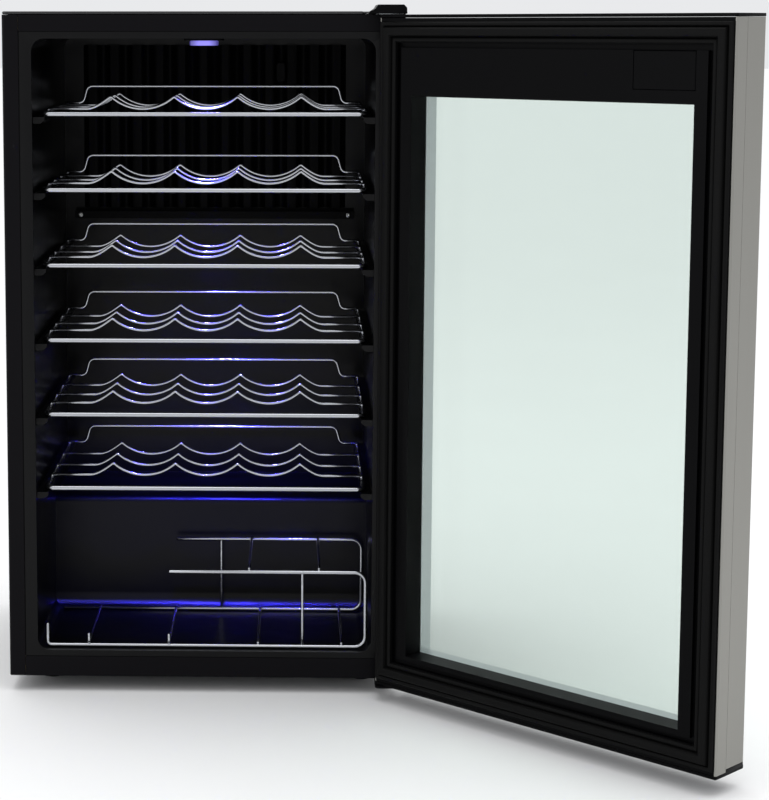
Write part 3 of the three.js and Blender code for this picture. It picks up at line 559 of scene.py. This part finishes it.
softened("lamp_housing", moulded_abs, 0.6)
softened("lamp_lens", lens_acrylic, 1.2, 4)

lamp_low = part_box("lamp_lens")[0]
lamp_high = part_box("lamp_lens")[1]
lamp = bpy.data.lights.new("cabinet_lamp", "AREA")
lamp.shape = "RECTANGLE"
lamp.size = lamp_high.x - lamp_low.x
lamp.size_y = lamp_high.y - lamp_low.y
lamp.color = linear(LAMP_GLOW)[:3]
lamp.energy = 5.0
lamp.spread = LAMP_SPREAD
lamp_object = bpy.data.objects.new("cabinet_lamp", lamp)
lamp_object.location = (lamp_low + lamp_high) / 2
lamp_object.location.z = lamp_low.z - MM
lamp_object.rotation_euler.x = LAMP_LEAN
bpy.context.scene.collection.objects.link(lamp_object)

# ---- Compressor bay -----------------------------------------------------
# A welded compressor stands on four rubber mounts, with its relay box, drain tray,
# brazed copper pipes, filter drier and the control board's box around it.

# Air-dried black paint over the compressor's drawn steel shell.
shell_paint, tree, shader, place = material("dipped_black_paint", "#141416", 0.42)
sag = put(tree, "ShaderNodeTexNoise", {"Scale": waves_per_metre(9), "Detail": 3.0}, {"Vector": place})
bump = put(tree, "ShaderNodeBump", {"Strength": 0.25, "Distance": 0.0006}, {"Height": sag.outputs["Fac"]})
tree.links.new(bump.outputs["Normal"], shader.inputs["Normal"])

shell_low, shell_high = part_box("compressor")
shell_centre = Vector(((shell_low.x + shell_high.x) / 2, (shell_low.y + shell_high.y) / 2, 0))
SHELL_RADIUS = 56.0
SEAM_RADIUS = 58.0
SHELL_TOP = shell_high.z / MM
PLATE_LOW = shell_low.z / MM
shell_profile = [(0, PLATE_LOW + 3), (44, PLATE_LOW + 3)]
shell_profile += [
    (44 + 12 * math.sin(math.radians(a)), PLATE_LOW + 17 - 14 * math.cos(math.radians(a)))
    for a in range(10, 91, 16)
]
shell_profile += [(SHELL_RADIUS, 80), (SEAM_RADIUS - 0.6, 81), (SEAM_RADIUS, 82.5), (SEAM_RADIUS, 86)]
shell_profile += [(SEAM_RADIUS - 0.6, 87.5), (SHELL_RADIUS, 88.5), (SHELL_RADIUS, 98)]
shell_profile += [
    (
        SHELL_RADIUS * math.cos(math.radians(a)) ** 0.62,
        98 + (SHELL_TOP - 98) * math.sin(math.radians(a)),
    )
    for a in range(10, 90, 10)
]
shell_profile += [(0, SHELL_TOP)]
body = bmesh.new()
lathe(body, shell_profile, shell_centre, (0, 0, 1), 64)
middle_x = (shell_centre.x - CENTRE_X) / MM
middle_y = (shell_centre.y - FRONT_Y) / MM
foot_plan = rounded(middle_x - 92, middle_x + 92, middle_y - 56, middle_y + 56, 12)
prism(body, foot_plan, "z", PLATE_LOW, PLATE_LOW + 3)
for sx in (-1, 1):
    rib = rounded(middle_x + sx * 76 - 10, middle_x + sx * 76 + 10, middle_y - 30, middle_y + 30, 5)
    prism(body, rib, "z", PLATE_LOW + 2.5, PLATE_LOW + 5)
show(
    "compressor_shell",
    finish_mesh("compressor_shell", body, 30),
    "cabinet",
    shell_paint,
    ("compressor",),
)

BOLT_X = 76.0
BOLT_Y = 42.0
WASHER_LOW = PLATE_LOW + 3
NUT_LOW = PLATE_LOW + 4.4
NUT_HIGH = PLATE_LOW + 9
washer = [(0, WASHER_LOW), (8, WASHER_LOW), (8, NUT_LOW), (0, NUT_LOW)]
nut = [(0, NUT_LOW), (5.4, NUT_LOW), (5.4, NUT_HIGH - 0.6), (4.7, NUT_HIGH), (0, NUT_HIGH)]
bolts = bmesh.new()
for sx in (-1, 1):
    for sy in (-1, 1):
        spot = shell_centre + Vector((sx * BOLT_X * MM, sy * BOLT_Y * MM, 0))
        lathe(bolts, washer, spot, (0, 0, 1), 24)
        lathe(bolts, nut, spot, (0, 0, 1), 6)
show(
    "compressor_bolts",
    finish_mesh("compressor_bolts", bolts),
    "cabinet",
    zinc_plate,
)

# Moulded nitrile rubber: soft black with a dusty bloom.
rubber, tree, shader, place = material("moulded_nitrile_rubber", "#101011", 0.7, Specular_IOR_Level=0.25)
bloom = put(tree, "ShaderNodeTexNoise", {"Scale": waves_per_metre(12), "Detail": 5.0}, {"Vector": place})
dusty = put(tree, "ShaderNodeMapRange", {"To Min": 0.55, "To Max": 0.82}, {"Value": bloom.outputs["Fac"]})
tree.links.new(dusty.outputs["Result"], shader.inputs["Roughness"])

for corner in ("front_left", "front_right", "rear_left", "rear_right"):
    node = f"compressor_mount_{corner}"
    low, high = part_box(node)
    base, top = low.z / MM, high.z / MM
    profile = [(0, base), (8.6, base), (9, base + 1), (9, base + 3.4), (7, base + 4.4), (7, top - 4.4)]
    profile += [(9, top - 3.4), (9, top - 1), (8.6, top), (0, top)]
    mount = bmesh.new()
    lathe(mount, profile, Vector(((low.x + high.x) / 2, (low.y + high.y) / 2, 0)), (0, 0, 1))
    show(f"{node}_ribbed", finish_mesh(node, mount), "cabinet", rubber, (node,))

softened("relay_box", moulded_abs, 2.5, 4)
softened("drain_tray", moulded_abs, 0.5, 3)
softened("control_board_box", moulded_abs, 2.5, 4)
softened("cable_gland", moulded_abs, 0.8, 3)


def sweep(shape, line, radius, sides=16):
    """Adds to a bmesh a round bar in millimetres along a line of points, with domed ends."""
    points = [at(*spot) for spot in line]
    count = len(points)
    tangents = []
    for i in range(count):
        ahead = points[min(i + 1, count - 1)] - points[i]
        behind = points[i] - points[max(i - 1, 0)]
        tangents.append((ahead.normalized() + behind.normalized()).normalized())
    normal = tangents[0].orthogonal().normalized()
    rings = []

    def ring(centre, direction, size):
        side = direction.cross(normal).normalized()
        made = []
        for k in range(sides):
            angle = 2 * math.pi * k / sides
            outward = normal * math.cos(angle) + side * math.sin(angle)
            made.append(shape.verts.new(centre + outward * size))
        return made

    reach = radius * MM
    for angle in (75, 45, 15):
        lean = math.radians(angle)
        start = points[0] + tangents[0] * reach * (1 - math.sin(lean)) * 0.6
        rings.append(ring(start, tangents[0], reach * math.cos(lean)))
    for i in range(1, count - 1):
        normal = (normal - tangents[i] * normal.dot(tangents[i])).normalized()
        rings.append(ring(points[i], tangents[i], reach))
    last = tangents[-1]
    normal = (normal - last * normal.dot(last)).normalized()
    for angle in (15, 45, 75):
        lean = math.radians(angle)
        end = points[-1] - last * reach * (1 - math.sin(lean)) * 0.6
        rings.append(ring(end, last, reach * math.cos(lean)))
    for low, high in zip(rings, rings[1:]):
        for k in range(sides):
            j = (k + 1) % sides
            shape.faces.new((low[k], low[j], high[j], high[k]))
    shape.faces.new(rings[0][::-1])
    shape.faces.new(rings[-1])


def bent(corners, radius, steps=8):
    """Corner points in millimetres with each corner turned into an even bend."""
    spots = [Vector(c) for c in corners]
    line = [spots[0]]
    for before, here, after in zip(spots, spots[1:], spots[2:]):
        into = (before - here).normalized()
        out = (after - here).normalized()
        angle = into.angle(out)
        room = 0.49 * min((before - here).length, (after - here).length)
        reach = min(radius / math.tan(angle / 2), room)
        size = reach * math.tan(angle / 2)
        middle = here + (into + out).normalized() * (size / math.sin(angle / 2))
        first = here + into * reach - middle
        last = here + out * reach - middle
        turn = first.angle(last)
        axis = first.cross(last).normalized()
        for i in range(steps + 1):
            line.append(middle + Matrix.Rotation(turn * i / steps, 3, axis) @ first)
    line.append(spots[-1])
    return line


# Drawn copper tube: warm metal, browned in patches where it was brazed and handled.
copper, tree, shader, place = material("drawn_copper_tube", "#b8704a", 0.3, 1.0)
patina = put(tree, "ShaderNodeTexNoise", {"Scale": waves_per_metre(16), "Detail": 5.0}, {"Vector": place})
brown = put(tree, "ShaderNodeValToRGB", links={"Fac": patina.outputs["Fac"]})
brown.color_ramp.elements[0].position = 0.38
brown.color_ramp.elements[0].color = linear("#6e3f2a")
brown.color_ramp.elements[1].position = 0.62
brown.color_ramp.elements[1].color = linear("#c07a52")
tree.links.new(brown.outputs["Color"], shader.inputs["Base Color"])
dulled = put(tree, "ShaderNodeMapRange", {"To Min": 0.42, "To Max": 0.22}, {"Value": patina.outputs["Fac"]})
tree.links.new(dulled.outputs["Result"], shader.inputs["Roughness"])

SHELL_EDGE = middle_x + SHELL_RADIUS + 2.3
discharge = bent(
    [
        (SHELL_EDGE, middle_y, 60),
        (180, middle_y, 60),
        (180, 260, 60),
        (222, 260, 60),
        (222, 260, 150),
        (222, 380, 150),
    ],
    13,
)
pipe = bmesh.new()
sweep(pipe, discharge, 3)
show(
    "discharge_pipe_bent",
    finish_mesh("discharge_pipe_bent", pipe, 60),
    "cabinet",
    copper,
    ("discharge_pipe",),
)
suction = bent(
    [
        (SHELL_EDGE, middle_y + 20, 76),
        (150, middle_y + 20, 76),
        (150, 385, 76),
        (150, 385, 164),
        (60, 385, 164),
    ],
    13,
)
pipe = bmesh.new()
sweep(pipe, suction, 4)
show(
    "suction_pipe_bent",
    finish_mesh("suction_pipe_bent", pipe, 60),
    "cabinet",
    copper,
    ("suction_pipe",),
)

drier_low, drier_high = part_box("filter_drier")
low, high = drier_low.z / MM, drier_high.z / MM
profile = [(0, low), (4, low), (4, low + 5), (6, low + 8), (10.5, low + 11), (12, low + 14)]
profile += [(12, high - 14), (10.5, high - 11), (6, high - 8), (4, high - 5), (4, high), (0, high)]
can = bmesh.new()
drier_middle = Vector(((drier_low.x + drier_high.x) / 2, (drier_low.y + drier_high.y) / 2, 0))
lathe(can, profile, drier_middle, (0, 0, 1), 40)
show(
    "filter_drier_spun",
    finish_mesh("filter_drier_spun", can),
    "cabinet",
    copper,
    ("filter_drier",),
)

# ---- Hinges on the cabinet ----------------------------------------------
# Pressed steel plates carry the door's pins, the upper one under a moulded cover.
# Both are screwed to the shell's reinforced corner.

softened("hinge_bracket_top", zinc, 0.4)
softened("hinge_bracket_bottom", enamel, 0.4)
softened("hinge_cover", moulded_abs, 1.3, 4)
frame["nodes"]["hinge_pin_top"].data.materials.clear()
frame["nodes"]["hinge_pin_top"].data.materials.append(zinc_plate)

# ---- Feet ---------------------------------------------------------------
# Four moulded feet with knurled rims; the front two screw out to level the cabinet.
# Black polypropylene with a rubber pad under each.

for node in ("foot_front_left", "foot_front_right", "foot_rear_left", "foot_rear_right"):
    low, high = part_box(node)
    middle = Vector(((low.x + high.x) / 2, (low.y + high.y) / 2, 0))
    top = high.z / MM
    foot = bmesh.new()
    profile = [(0, 0), (13.4, 0), (14.6, 0.8), (15.2, 2), (15.8, 2.6)]
    profile += [(15.8, 8), (15, 9), (10, 11), (9, 12), (9, top), (0, top)]
    lathe(foot, profile, middle, (0, 0, 1), 48)
    for vert in foot.verts:
        height = vert.co.z / MM
        if 2.4 < height < 8.2:
            angle = math.atan2(vert.co.y - middle.y, vert.co.x - middle.x)
            flute = 1 - 0.02 * (1 - math.cos(24 * angle)) / 2
            vert.co.x = middle.x + (vert.co.x - middle.x) * flute
            vert.co.y = middle.y + (vert.co.y - middle.y) * flute
    show(f"{node}_knurled", finish_mesh(node, foot), BODY_OF[node], rubber, (node,))

# ---- Bottle racks -------------------------------------------------------
# Each rack is bent from drawn steel wire and spot welded: a front and side frame, three
# cradle wires and a raised rear rail. The whole rack is then plated.

# Bright chrome over nickel: a cold mirror that still shows the faint draw lines of the wire.
chrome, tree, shader, place = material("chrome_plated_wire", "#b4b6bb", 0.13, 1.0)
flow = put(tree, "ShaderNodeTexNoise", {"Scale": waves_per_metre(7), "Detail": 4.0}, {"Vector": place})
bright = put(tree, "ShaderNodeMapRange", {"To Min": 0.07, "To Max": 0.24}, {"Value": flow.outputs["Fac"]})
tree.links.new(bright.outputs["Result"], shader.inputs["Roughness"])

RACK_HALF = 194.5
RACK_FRONT = 20.0
RACK_BACK = 293.5
FRAME_WIRE = 3.0
CRADLE_WIRE = 1.75
RAIL_WIRE = 2.0
WELD_RISE = 4.1
CRADLE_ROWS = (80.0, 141.0, 213.0)
BOTTLE_PITCH = 78.0
CRADLE_RISE = 15.0
RAIL_RISE = 22.0
CUSP = 3.2


def cradle_height(x):
    """How far a cradle wire stands above its flat ends: arcs that meet in small rounded crests."""
    half = BOTTLE_PITCH / 2
    crest = 1.5 * BOTTLE_PITCH
    radius = (half * half + CRADLE_RISE * CRADLE_RISE) / (2 * CRADLE_RISE)
    run_out = 30.0
    beyond = abs(x) - crest
    if beyond > run_out:
        return 0.0
    if beyond > 0:
        share = 1 - beyond / run_out
        height = CRADLE_RISE * share * share * (3 - share) / 2
    else:
        offset = x - round(x / BOTTLE_PITCH) * BOTTLE_PITCH
        height = radius - math.sqrt(radius * radius - offset * offset)
    nearest = min(abs(abs(x) - half), abs(abs(x) - crest))
    if nearest < CUSP:
        drop = 0.72 * CUSP / 2
        height = min(height, CRADLE_RISE - drop * (0.55 + 0.45 * (nearest / CUSP) ** 2))
    return height


def cradle_line(y):
    line = [(-RACK_HALF - 1, y, WELD_RISE)]
    step = 1.5
    count = int(300 / step)
    for i in range(count + 1):
        x = -150 + i * step
        line.append((x, y, WELD_RISE + cradle_height(x)))
    line.append((RACK_HALF + 1, y, WELD_RISE))
    return line


def weld(shape, spot, radius):
    """Adds the small squashed bead that a spot weld leaves between two wires."""
    bead = [
        (radius * math.cos(math.radians(a)), radius * 0.8 * math.sin(math.radians(a)))
        for a in range(-60, 61, 30)
    ]
    lathe(shape, [(0, bead[0][1]), *bead, (0, bead[-1][1])], at(*spot), (0, 0, 1), 12)


rack = bmesh.new()
frame_line = bent(
    [
        (-RACK_HALF, RACK_BACK + 4, 0),
        (-RACK_HALF, RACK_FRONT, 0),
        (RACK_HALF, RACK_FRONT, 0),
        (RACK_HALF, RACK_BACK + 4, 0),
    ],
    8,
)
sweep(rack, frame_line, FRAME_WIRE, 20)
rail_line = bent(
    [
        (-RACK_HALF - 1, RACK_BACK, WELD_RISE),
        (-172, RACK_BACK, WELD_RISE),
        (-166, RACK_BACK, WELD_RISE + RAIL_RISE),
        (166, RACK_BACK, WELD_RISE + RAIL_RISE),
        (172, RACK_BACK, WELD_RISE),
        (RACK_HALF + 1, RACK_BACK, WELD_RISE),
    ],
    8,
)
sweep(rack, rail_line, RAIL_WIRE)
for y in CRADLE_ROWS:
    sweep(rack, cradle_line(y), CRADLE_WIRE, 12)
for side in (-1, 1):
    for y in (*CRADLE_ROWS, RACK_BACK):
        weld(rack, (side * RACK_HALF, y, 2.5), 2.6)
rack_mesh = finish_mesh("bottle_rack", rack, 60)

for number in range(1, 7):
    node = f"rack_{number}"
    piece = bpy.data.objects.new(f"{node}_wire", rack_mesh)
    piece.location.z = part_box(node)[0].z + FRAME_WIRE * MM
    bpy.context.scene.collection.objects.link(piece)
    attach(piece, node)
    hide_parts(node)
rack_mesh.materials.append(chrome)

# ---- Bottle basket ------------------------------------------------------
# Two bent frames stand on the floor of the liner, tied by lengthways wires.
# It is plated like the racks and left open on the left.

BASKET_LOW = 55.2
BASKET_HIGH = 149.0
BASKET_ENDS = (15.0, 185.0)
BASKET_RAIL = 2.5
STRAND = 1.75
ON_RAIL = 3.7
basket = bmesh.new()
STUB_HEIGHT = 28.0
front, back = BASKET_ENDS
loop = [(198, front, BASKET_LOW), (198, front, BASKET_HIGH), (-44, front, BASKET_HIGH)]
stub = [
    (-RACK_HALF, front, BASKET_LOW + STUB_HEIGHT),
    (-RACK_HALF, front, BASKET_LOW),
    (-100, front, BASKET_LOW),
]
sweep(basket, bent(stub, 5)[:-1] + bent([(-100, front, BASKET_LOW)] + loop, 13), BASKET_RAIL)
loop = [(x, back, z) for x, y, z in loop]
sweep(basket, bent([(-192, back, BASKET_LOW)] + loop, 13), BASKET_RAIL)
for x, y in ((120.6, BASKET_ENDS[0]), (15.0, BASKET_ENDS[1])):
    upright = [(x, y, BASKET_LOW + (BASKET_HIGH - BASKET_LOW) * i / 4) for i in range(5)]
    sweep(basket, upright, STRAND, 12)
    weld(basket, (x, y, BASKET_LOW), 2.9)
    weld(basket, (x, y, BASKET_HIGH), 2.9)
for x, hooked in ((-143, True), (-44, True), (66, False), (169, False)):
    z = BASKET_LOW + ON_RAIL
    corners = [(x, BASKET_ENDS[1] + 3, z), (x, BASKET_ENDS[0] - 2, z)]
    if hooked:
        corners.append((x, BASKET_ENDS[0] - 2, z + 12))
        strand = bent(corners, 3)
    else:
        strand = [(x, BASKET_ENDS[1] + 3 - i * 43.25, z) for i in range(5)]
    sweep(basket, strand, STRAND, 12)
    for y in BASKET_ENDS:
        weld(basket, (x, y, BASKET_LOW + 2.4), 1.9)
for x in (55, 141):
    z = BASKET_HIGH + ON_RAIL
    sweep(basket, [(x, BASKET_ENDS[1] + 3 - i * 43.25, z) for i in range(5)], STRAND, 12)
    for y in BASKET_ENDS:
        weld(basket, (x, y, BASKET_HIGH + 2.4), 1.9)
show(
    "bottle_basket_wire",
    finish_mesh("bottle_basket_wire", basket, 60),
    "basket",
    chrome,
    ("bottle_basket",),
)

# ---- Door shell ---------------------------------------------------------
# Folded stainless profiles wrap the door's edges and border its face, closed at top
# and bottom by black moulded caps that carry the hinge bushes.

DOOR_JOINT = next(j for j in frame["joints"] if j["name"] == "door_hinge")
DOOR_OPEN = -math.radians(DOOR_JOINT["range_deg"][0])
PIVOT = Vector(DOOR_JOINT["pos_m"])
SWING = Matrix.Translation(PIVOT) @ Matrix.Rotation(DOOR_OPEN, 4, "Z") @ Matrix.Translation(-PIVOT)

# Brushed stainless: long upright scratches stretch every reflection across the strip. Its base colour is a darker
# grey than bare stainless: a painted reflection of the dark room that the strip faces.
BRUSH_LINE = 0.35
BRUSH_LENGTH = 160.0
# 8e8d88 is a painted reflection of a dark room, darker than the steel's own colour.
stainless, tree, shader, place = material("brushed_stainless", "#8e8d88", 0.34, 1.0)
flat = put(
    tree,
    "ShaderNodeMapping",
    {"Scale": (waves_per_metre(BRUSH_LINE), waves_per_metre(BRUSH_LINE), waves_per_metre(BRUSH_LENGTH))},
    {"Vector": place},
)
scratches = put(
    tree,
    "ShaderNodeTexNoise",
    {"Scale": 1.0, "Detail": 3.0},
    {"Vector": flat.outputs["Vector"]},
)
uneven = put(
    tree,
    "ShaderNodeMapRange",
    {"To Min": 0.26, "To Max": 0.46},
    {"Value": scratches.outputs["Fac"]},
)
tree.links.new(uneven.outputs["Result"], shader.inputs["Roughness"])
bump = put(
    tree,
    "ShaderNodeBump",
    {"Strength": 0.1, "Distance": 0.0001},
    {"Height": scratches.outputs["Fac"]},
)
tree.links.new(bump.outputs["Normal"], shader.inputs["Normal"])

for node in (
    "door_stile_handle_side",
    "door_stile_hinge_side",
    "door_rail_top",
    "door_rail_bottom",
    "door_edge_band_handle_side",
    "door_edge_band_hinge_side",
):
    softened(node, stainless, 0.35, 3)
for node in ("door_cap_top", "door_cap_bottom"):
    softened(node, moulded_abs, 0.6, 3)
for node in ("hinge_bush_top", "hinge_bush_bottom"):
    softened(node, moulded_abs, 0.3, 2)

# ---- Door frame and glazing ---------------------------------------------
# A moulded frame holds two panes apart on an aluminium spacer. The front border is
# hidden behind the black frame, and the window between is clear.

softened("door_inner_frame", moulded_abs, 0.8, 3)

# Mill-finish aluminium: pale satin metal, seen only as a thin line round the panes.
spacer_metal, tree, shader, place = material("mill_finish_aluminium", "#c4c7c9", 0.35, 1.0)
drawn = put(tree, "ShaderNodeTexNoise", {"Scale": waves_per_metre(1.2)}, {"Vector": place})
satin = put(tree, "ShaderNodeMapRange", {"To Min": 0.26, "To Max": 0.44}, {"Value": drawn.outputs["Fac"]})
tree.links.new(satin.outputs["Result"], shader.inputs["Roughness"])
softened("glass_spacer", spacer_metal, 0.4)

# Float glass: clear with a faint green, and its lit edges glow.
glass, tree, shader, place = material("float_glass", "#eaf0ed", 0.0, Transmission_Weight=1.0, IOR=1.2)
smear = put(tree, "ShaderNodeTexNoise", {"Scale": waves_per_metre(140), "Detail": 4.0}, {"Vector": place})
film = put(
    tree,
    "ShaderNodeMapRange",
    {"From Min": 0.5, "From Max": 0.9, "To Min": 0.0, "To Max": 0.03},
    {"Value": smear.outputs["Fac"]},
)
tree.links.new(film.outputs["Result"], shader.inputs["Roughness"])
rays = put(tree, "ShaderNodeLightPath")
clear = put(tree, "ShaderNodeBsdfTransparent", {"Color": linear("#f0f6f3")})
both = put(tree, "ShaderNodeMixShader")
tree.links.new(rays.outputs["Is Shadow Ray"], both.inputs[0])
tree.links.new(shader.outputs[0], both.inputs[1])
tree.links.new(clear.outputs[0], both.inputs[2])
output = next(n for n in tree.nodes if n.type == "OUTPUT_MATERIAL")
tree.links.new(both.outputs[0], output.inputs["Surface"])
for node in ("outer_pane", "inner_pane"):
    softened(node, glass, 0.5, 2)

# ---- Door seal ----------------------------------------------------------
# A magnetic seal runs round the door's inner face: an extruded vinyl bellows welded at
# its corners, with a flat pocket for the magnet between two soft folds.

# Extruded soft vinyl: matt black with a slight sheen along its folds.
vinyl, tree, shader, place = material("extruded_soft_vinyl", "#080808", 0.46, Specular_IOR_Level=0.08)
drag = put(tree, "ShaderNodeTexNoise", {"Scale": waves_per_metre(5), "Detail": 3.0}, {"Vector": place})
soft = put(tree, "ShaderNodeMapRange", {"To Min": 0.42, "To Max": 0.62}, {"Value": drag.outputs["Fac"]})
tree.links.new(soft.outputs["Result"], shader.inputs["Roughness"])

DOOR_LOW = 20.6
DOOR_HIGH = 828.9
DOOR_HALF = 240.0
DOOR_INNER = -8.0
SEAL_MARGIN = 5.0


def fold(start, end, rise, base, steps=7):
    """An arched fold of the seal between two insets, as (inset, height) pairs."""
    return [
        (
            start + (end - start) * (1 - math.cos(math.pi * i / steps)) / 2,
            base + rise * math.sin(math.pi * i / steps),
        )
        for i in range(steps + 1)
    ]


seal_profile = [(3.2, 0.4)]
seal_profile += fold(3.2, 8.6, 3.6, 0.9)
seal_profile += [(9.2, 2.2), (10.2, 5.9), (11.0, 7.1), (12.0, 7.5)]
seal_profile += [(17.6, 7.5), (18.6, 7.1), (19.4, 5.9), (20.4, 2.2)]
seal_profile += fold(21.0, 26.6, 3.0, 0.9)
seal_profile += [(26.6, 0.4)]


def door_ring(shape, profile):
    """Adds to a bmesh a profile carried round the door's four edges, with mitred corners."""
    loops = []
    for inset, height in profile:
        half = DOOR_HALF - inset
        low = DOOR_LOW + SEAL_MARGIN + inset
        high = DOOR_HIGH - SEAL_MARGIN - inset
        corners = ((-half, low), (half, low), (half, high), (-half, high))
        loops.append([shape.verts.new(at(x, DOOR_INNER + height, z)) for x, z in corners])
    count = len(loops)
    for i in range(count):
        after = loops[(i + 1) % count]
        for k in range(4):
            j = (k + 1) % 4
            shape.faces.new((loops[i][k], loops[i][j], after[j], after[k]))


seal = bmesh.new()
door_ring(seal, seal_profile)
seal_mesh = finish_mesh("door_seal_bellows", seal, 50)
seal_mesh.transform(SWING)
show("door_seal_bellows", seal_mesh, "door", vinyl, ("door_gasket",))

# ---- Control module and display -----------------------------------------
# The control board's housing fills a pocket behind the top border. Its touch keys and
# two glowing digits read through the outer pane.

softened("control_module", moulded_abs, 1.2, 3)

# Diffused blue-white diodes behind smoked film.
digits_glow, tree, shader, place = material(
    "smoked_film_display", "#9fb4ff", 0.5, Emission_Color=linear("#7f9dff"), Emission_Strength=4.0
)
DIGIT_SEGMENTS = {"1": "bc", "2": "abged"}
DIGIT_WIDTH = 8.0
DIGIT_HEIGHT = 15.0
BAR = 1.6
DISPLAY_Y = -58.15
display = bmesh.new()


def bar(x0, x1, z0, z1):
    """Adds one lit bar to the display."""
    prism(display, rounded(x0, x1, z0, z1, 0.7, 3), "y", DISPLAY_Y, DISPLAY_Y - 0.12)


def digit(name, x, z):
    """Adds the lit bars of one digit, whose left as read from outside is towards -X."""
    half = DIGIT_HEIGHT / 2
    right = x + DIGIT_WIDTH
    places = {
        "a": (x, right, z + DIGIT_HEIGHT - BAR, z + DIGIT_HEIGHT),
        "g": (x, right, z + half - BAR / 2, z + half + BAR / 2),
        "d": (x, right, z, z + BAR),
        "b": (right - BAR, right, z + half + 1, z + DIGIT_HEIGHT - 2),
        "c": (right - BAR, right, z + 2, z + half - 1),
        "e": (x, x + BAR, z + 2, z + half - 1),
    }
    for segment in DIGIT_SEGMENTS[name]:
        bar(*places[segment])


DISPLAY_Z = 762.0
MINUS_X = -180.0
PLUS_X = -126.0
KEY_Z = DISPLAY_Z + DIGIT_HEIGHT / 2
digit("1", -162, DISPLAY_Z)
digit("2", -148, DISPLAY_Z)
for key_x in (PLUS_X, MINUS_X):
    bar(key_x - 3, key_x + 3, KEY_Z - BAR / 2, KEY_Z + BAR / 2)
bar(PLUS_X - BAR / 2, PLUS_X + BAR / 2, KEY_Z - 3, KEY_Z + 3)
display_mesh = finish_mesh("display_digits", display)
display_mesh.transform(SWING)
show("display_digits", display_mesh, "door", digits_glow)

# ---- Handle -------------------------------------------------------------
# A round stainless bar stands off the door's face on two turned posts.
# The bar is tube with domed ends, screwed from inside the stile.

HANDLE_X = -208.0
HANDLE_Y = -100.0
HANDLE_RADIUS = 6.0
TUBE_ROUND = 1.5
DOOR_FACE_Y = -64.3


def tube_end(height, inward, degrees):
    """The rounded rim of the bar's end, from height inwards, at each of these angles in degrees."""
    turns = [math.radians(angle) for angle in degrees]
    return [
        (
            HANDLE_RADIUS - TUBE_ROUND * (1 - math.cos(turn)),
            height + inward * TUBE_ROUND * (1 - math.sin(turn)),
        )
        for turn in turns
    ]


handle = bmesh.new()
handle_low, handle_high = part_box("handle_bar")
low, high = handle_low.z / MM, handle_high.z / MM
profile = [(0, low)]
profile += tube_end(low, 1, (90, 60, 30, 0))
profile += [(HANDLE_RADIUS, low + 4), (HANDLE_RADIUS, high - 4)]
profile += tube_end(high, -1, (0, 30, 60, 90))
profile += [(0, high)]
lathe(handle, profile, at(HANDLE_X, HANDLE_Y, 0), (0, 0, 1), 40)
handle_mesh = finish_mesh("handle_bar_tube", handle, 50)
handle_mesh.transform(SWING)
show("handle_bar_tube", handle_mesh, "door", stainless, ("handle_bar",))
for place_name in ("lower", "upper"):
    node = f"handle_post_{place_name}"
    low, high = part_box(node)
    z = (low.z + high.z) / 2 / MM
    stem = bmesh.new()
    profile = [(0, 0), (6.5, 0), (6.5, 1.6), (5, 2.4), (4.2, 8)]
    profile += [(4.2, 21), (5, 27), (5, 29.5), (0, 29.5)]
    lathe(stem, profile, at(HANDLE_X, DOOR_FACE_Y, z), (0, -1, 0), 32)
    stem_mesh = finish_mesh(node, stem, 50)
    stem_mesh.transform(SWING)
    show(f"{node}_turned", stem_mesh, "door", stainless, (node,))

# ---- Studio -------------------------------------------------------------
# A pale seamless floor under a bright even room, with one broad softbox overhead, one tall
# softbox on the left and a wide soft light that stands for the ceiling's bounce.

floor_finish, tree, shader, place = material("matt_studio_floor", "#eeeeee", 0.85)
mottle = put(tree, "ShaderNodeTexNoise", {"Scale": 3.0, "Detail": 3.0}, {"Vector": place})
tint = put(tree, "ShaderNodeValToRGB", links={"Fac": mottle.outputs["Fac"]})
tint.color_ramp.elements[0].color = linear("#ececec")
tint.color_ramp.elements[1].color = linear("#f1f1f1")
tree.links.new(tint.outputs["Color"], shader.inputs["Base Color"])
ground = bmesh.new()
bmesh.ops.create_grid(ground, x_segments=4, y_segments=4, size=40)
floor = bpy.data.objects.new("studio_floor", bpy.data.meshes.new("studio_floor"))
ground.to_mesh(floor.data)
ground.free()
floor.data.materials.append(floor_finish)
bpy.context.scene.collection.objects.link(floor)

world = bpy.data.worlds.new("studio")
bpy.context.scene.world = world
world.use_nodes = True
world.node_tree.nodes["Background"].inputs["Color"].default_value = linear("#f4f5f7")
world.node_tree.nodes["Background"].inputs["Strength"].default_value = 0.9


def softbox(name, location, target, width, height, energy):
    light = bpy.data.lights.new(name, "AREA")
    light.shape = "RECTANGLE"
    light.size = width
    light.size_y = height
    light.energy = energy
    holder = bpy.data.objects.new(name, light)
    holder.location = location
    aim = Vector(target) - Vector(location)
    holder.rotation_euler = aim.to_track_quat("-Z", "Y").to_euler()
    bpy.context.scene.collection.objects.link(holder)


softbox("overhead_box", (0.0, -0.4, 3.0), (0, 0, 0.4), 2.6, 2.6, 20)
softbox("left_box", (-2.6, -1.6, 1.5), (0, 0, 0.4), 0.8, 2.0, 10)
sky = bpy.data.lights.new("ceiling_bounce", "SUN")
sky.angle = math.radians(80)
sky.energy = 1.15
sky_holder = bpy.data.objects.new("ceiling_bounce", sky)
sky_holder.rotation_euler = (math.radians(-12), math.radians(10), 0)
bpy.context.scene.collection.objects.link(sky_holder)

camera = bpy.data.cameras.new("camera")
camera.sensor_width = 36.0
camera.lens = 96.05
camera.shift_x = 0.19
camera.shift_y = -0.13
viewer = bpy.data.objects.new("camera", camera)
viewer.location = at(109.7, -2548.6, 814.3)
viewer.rotation_euler = (math.radians(90 - 7.18), 0, math.radians(1.68))
bpy.context.scene.collection.objects.link(viewer)
bpy.context.scene.camera = viewer
bpy.context.scene.view_settings.view_transform = "Standard"
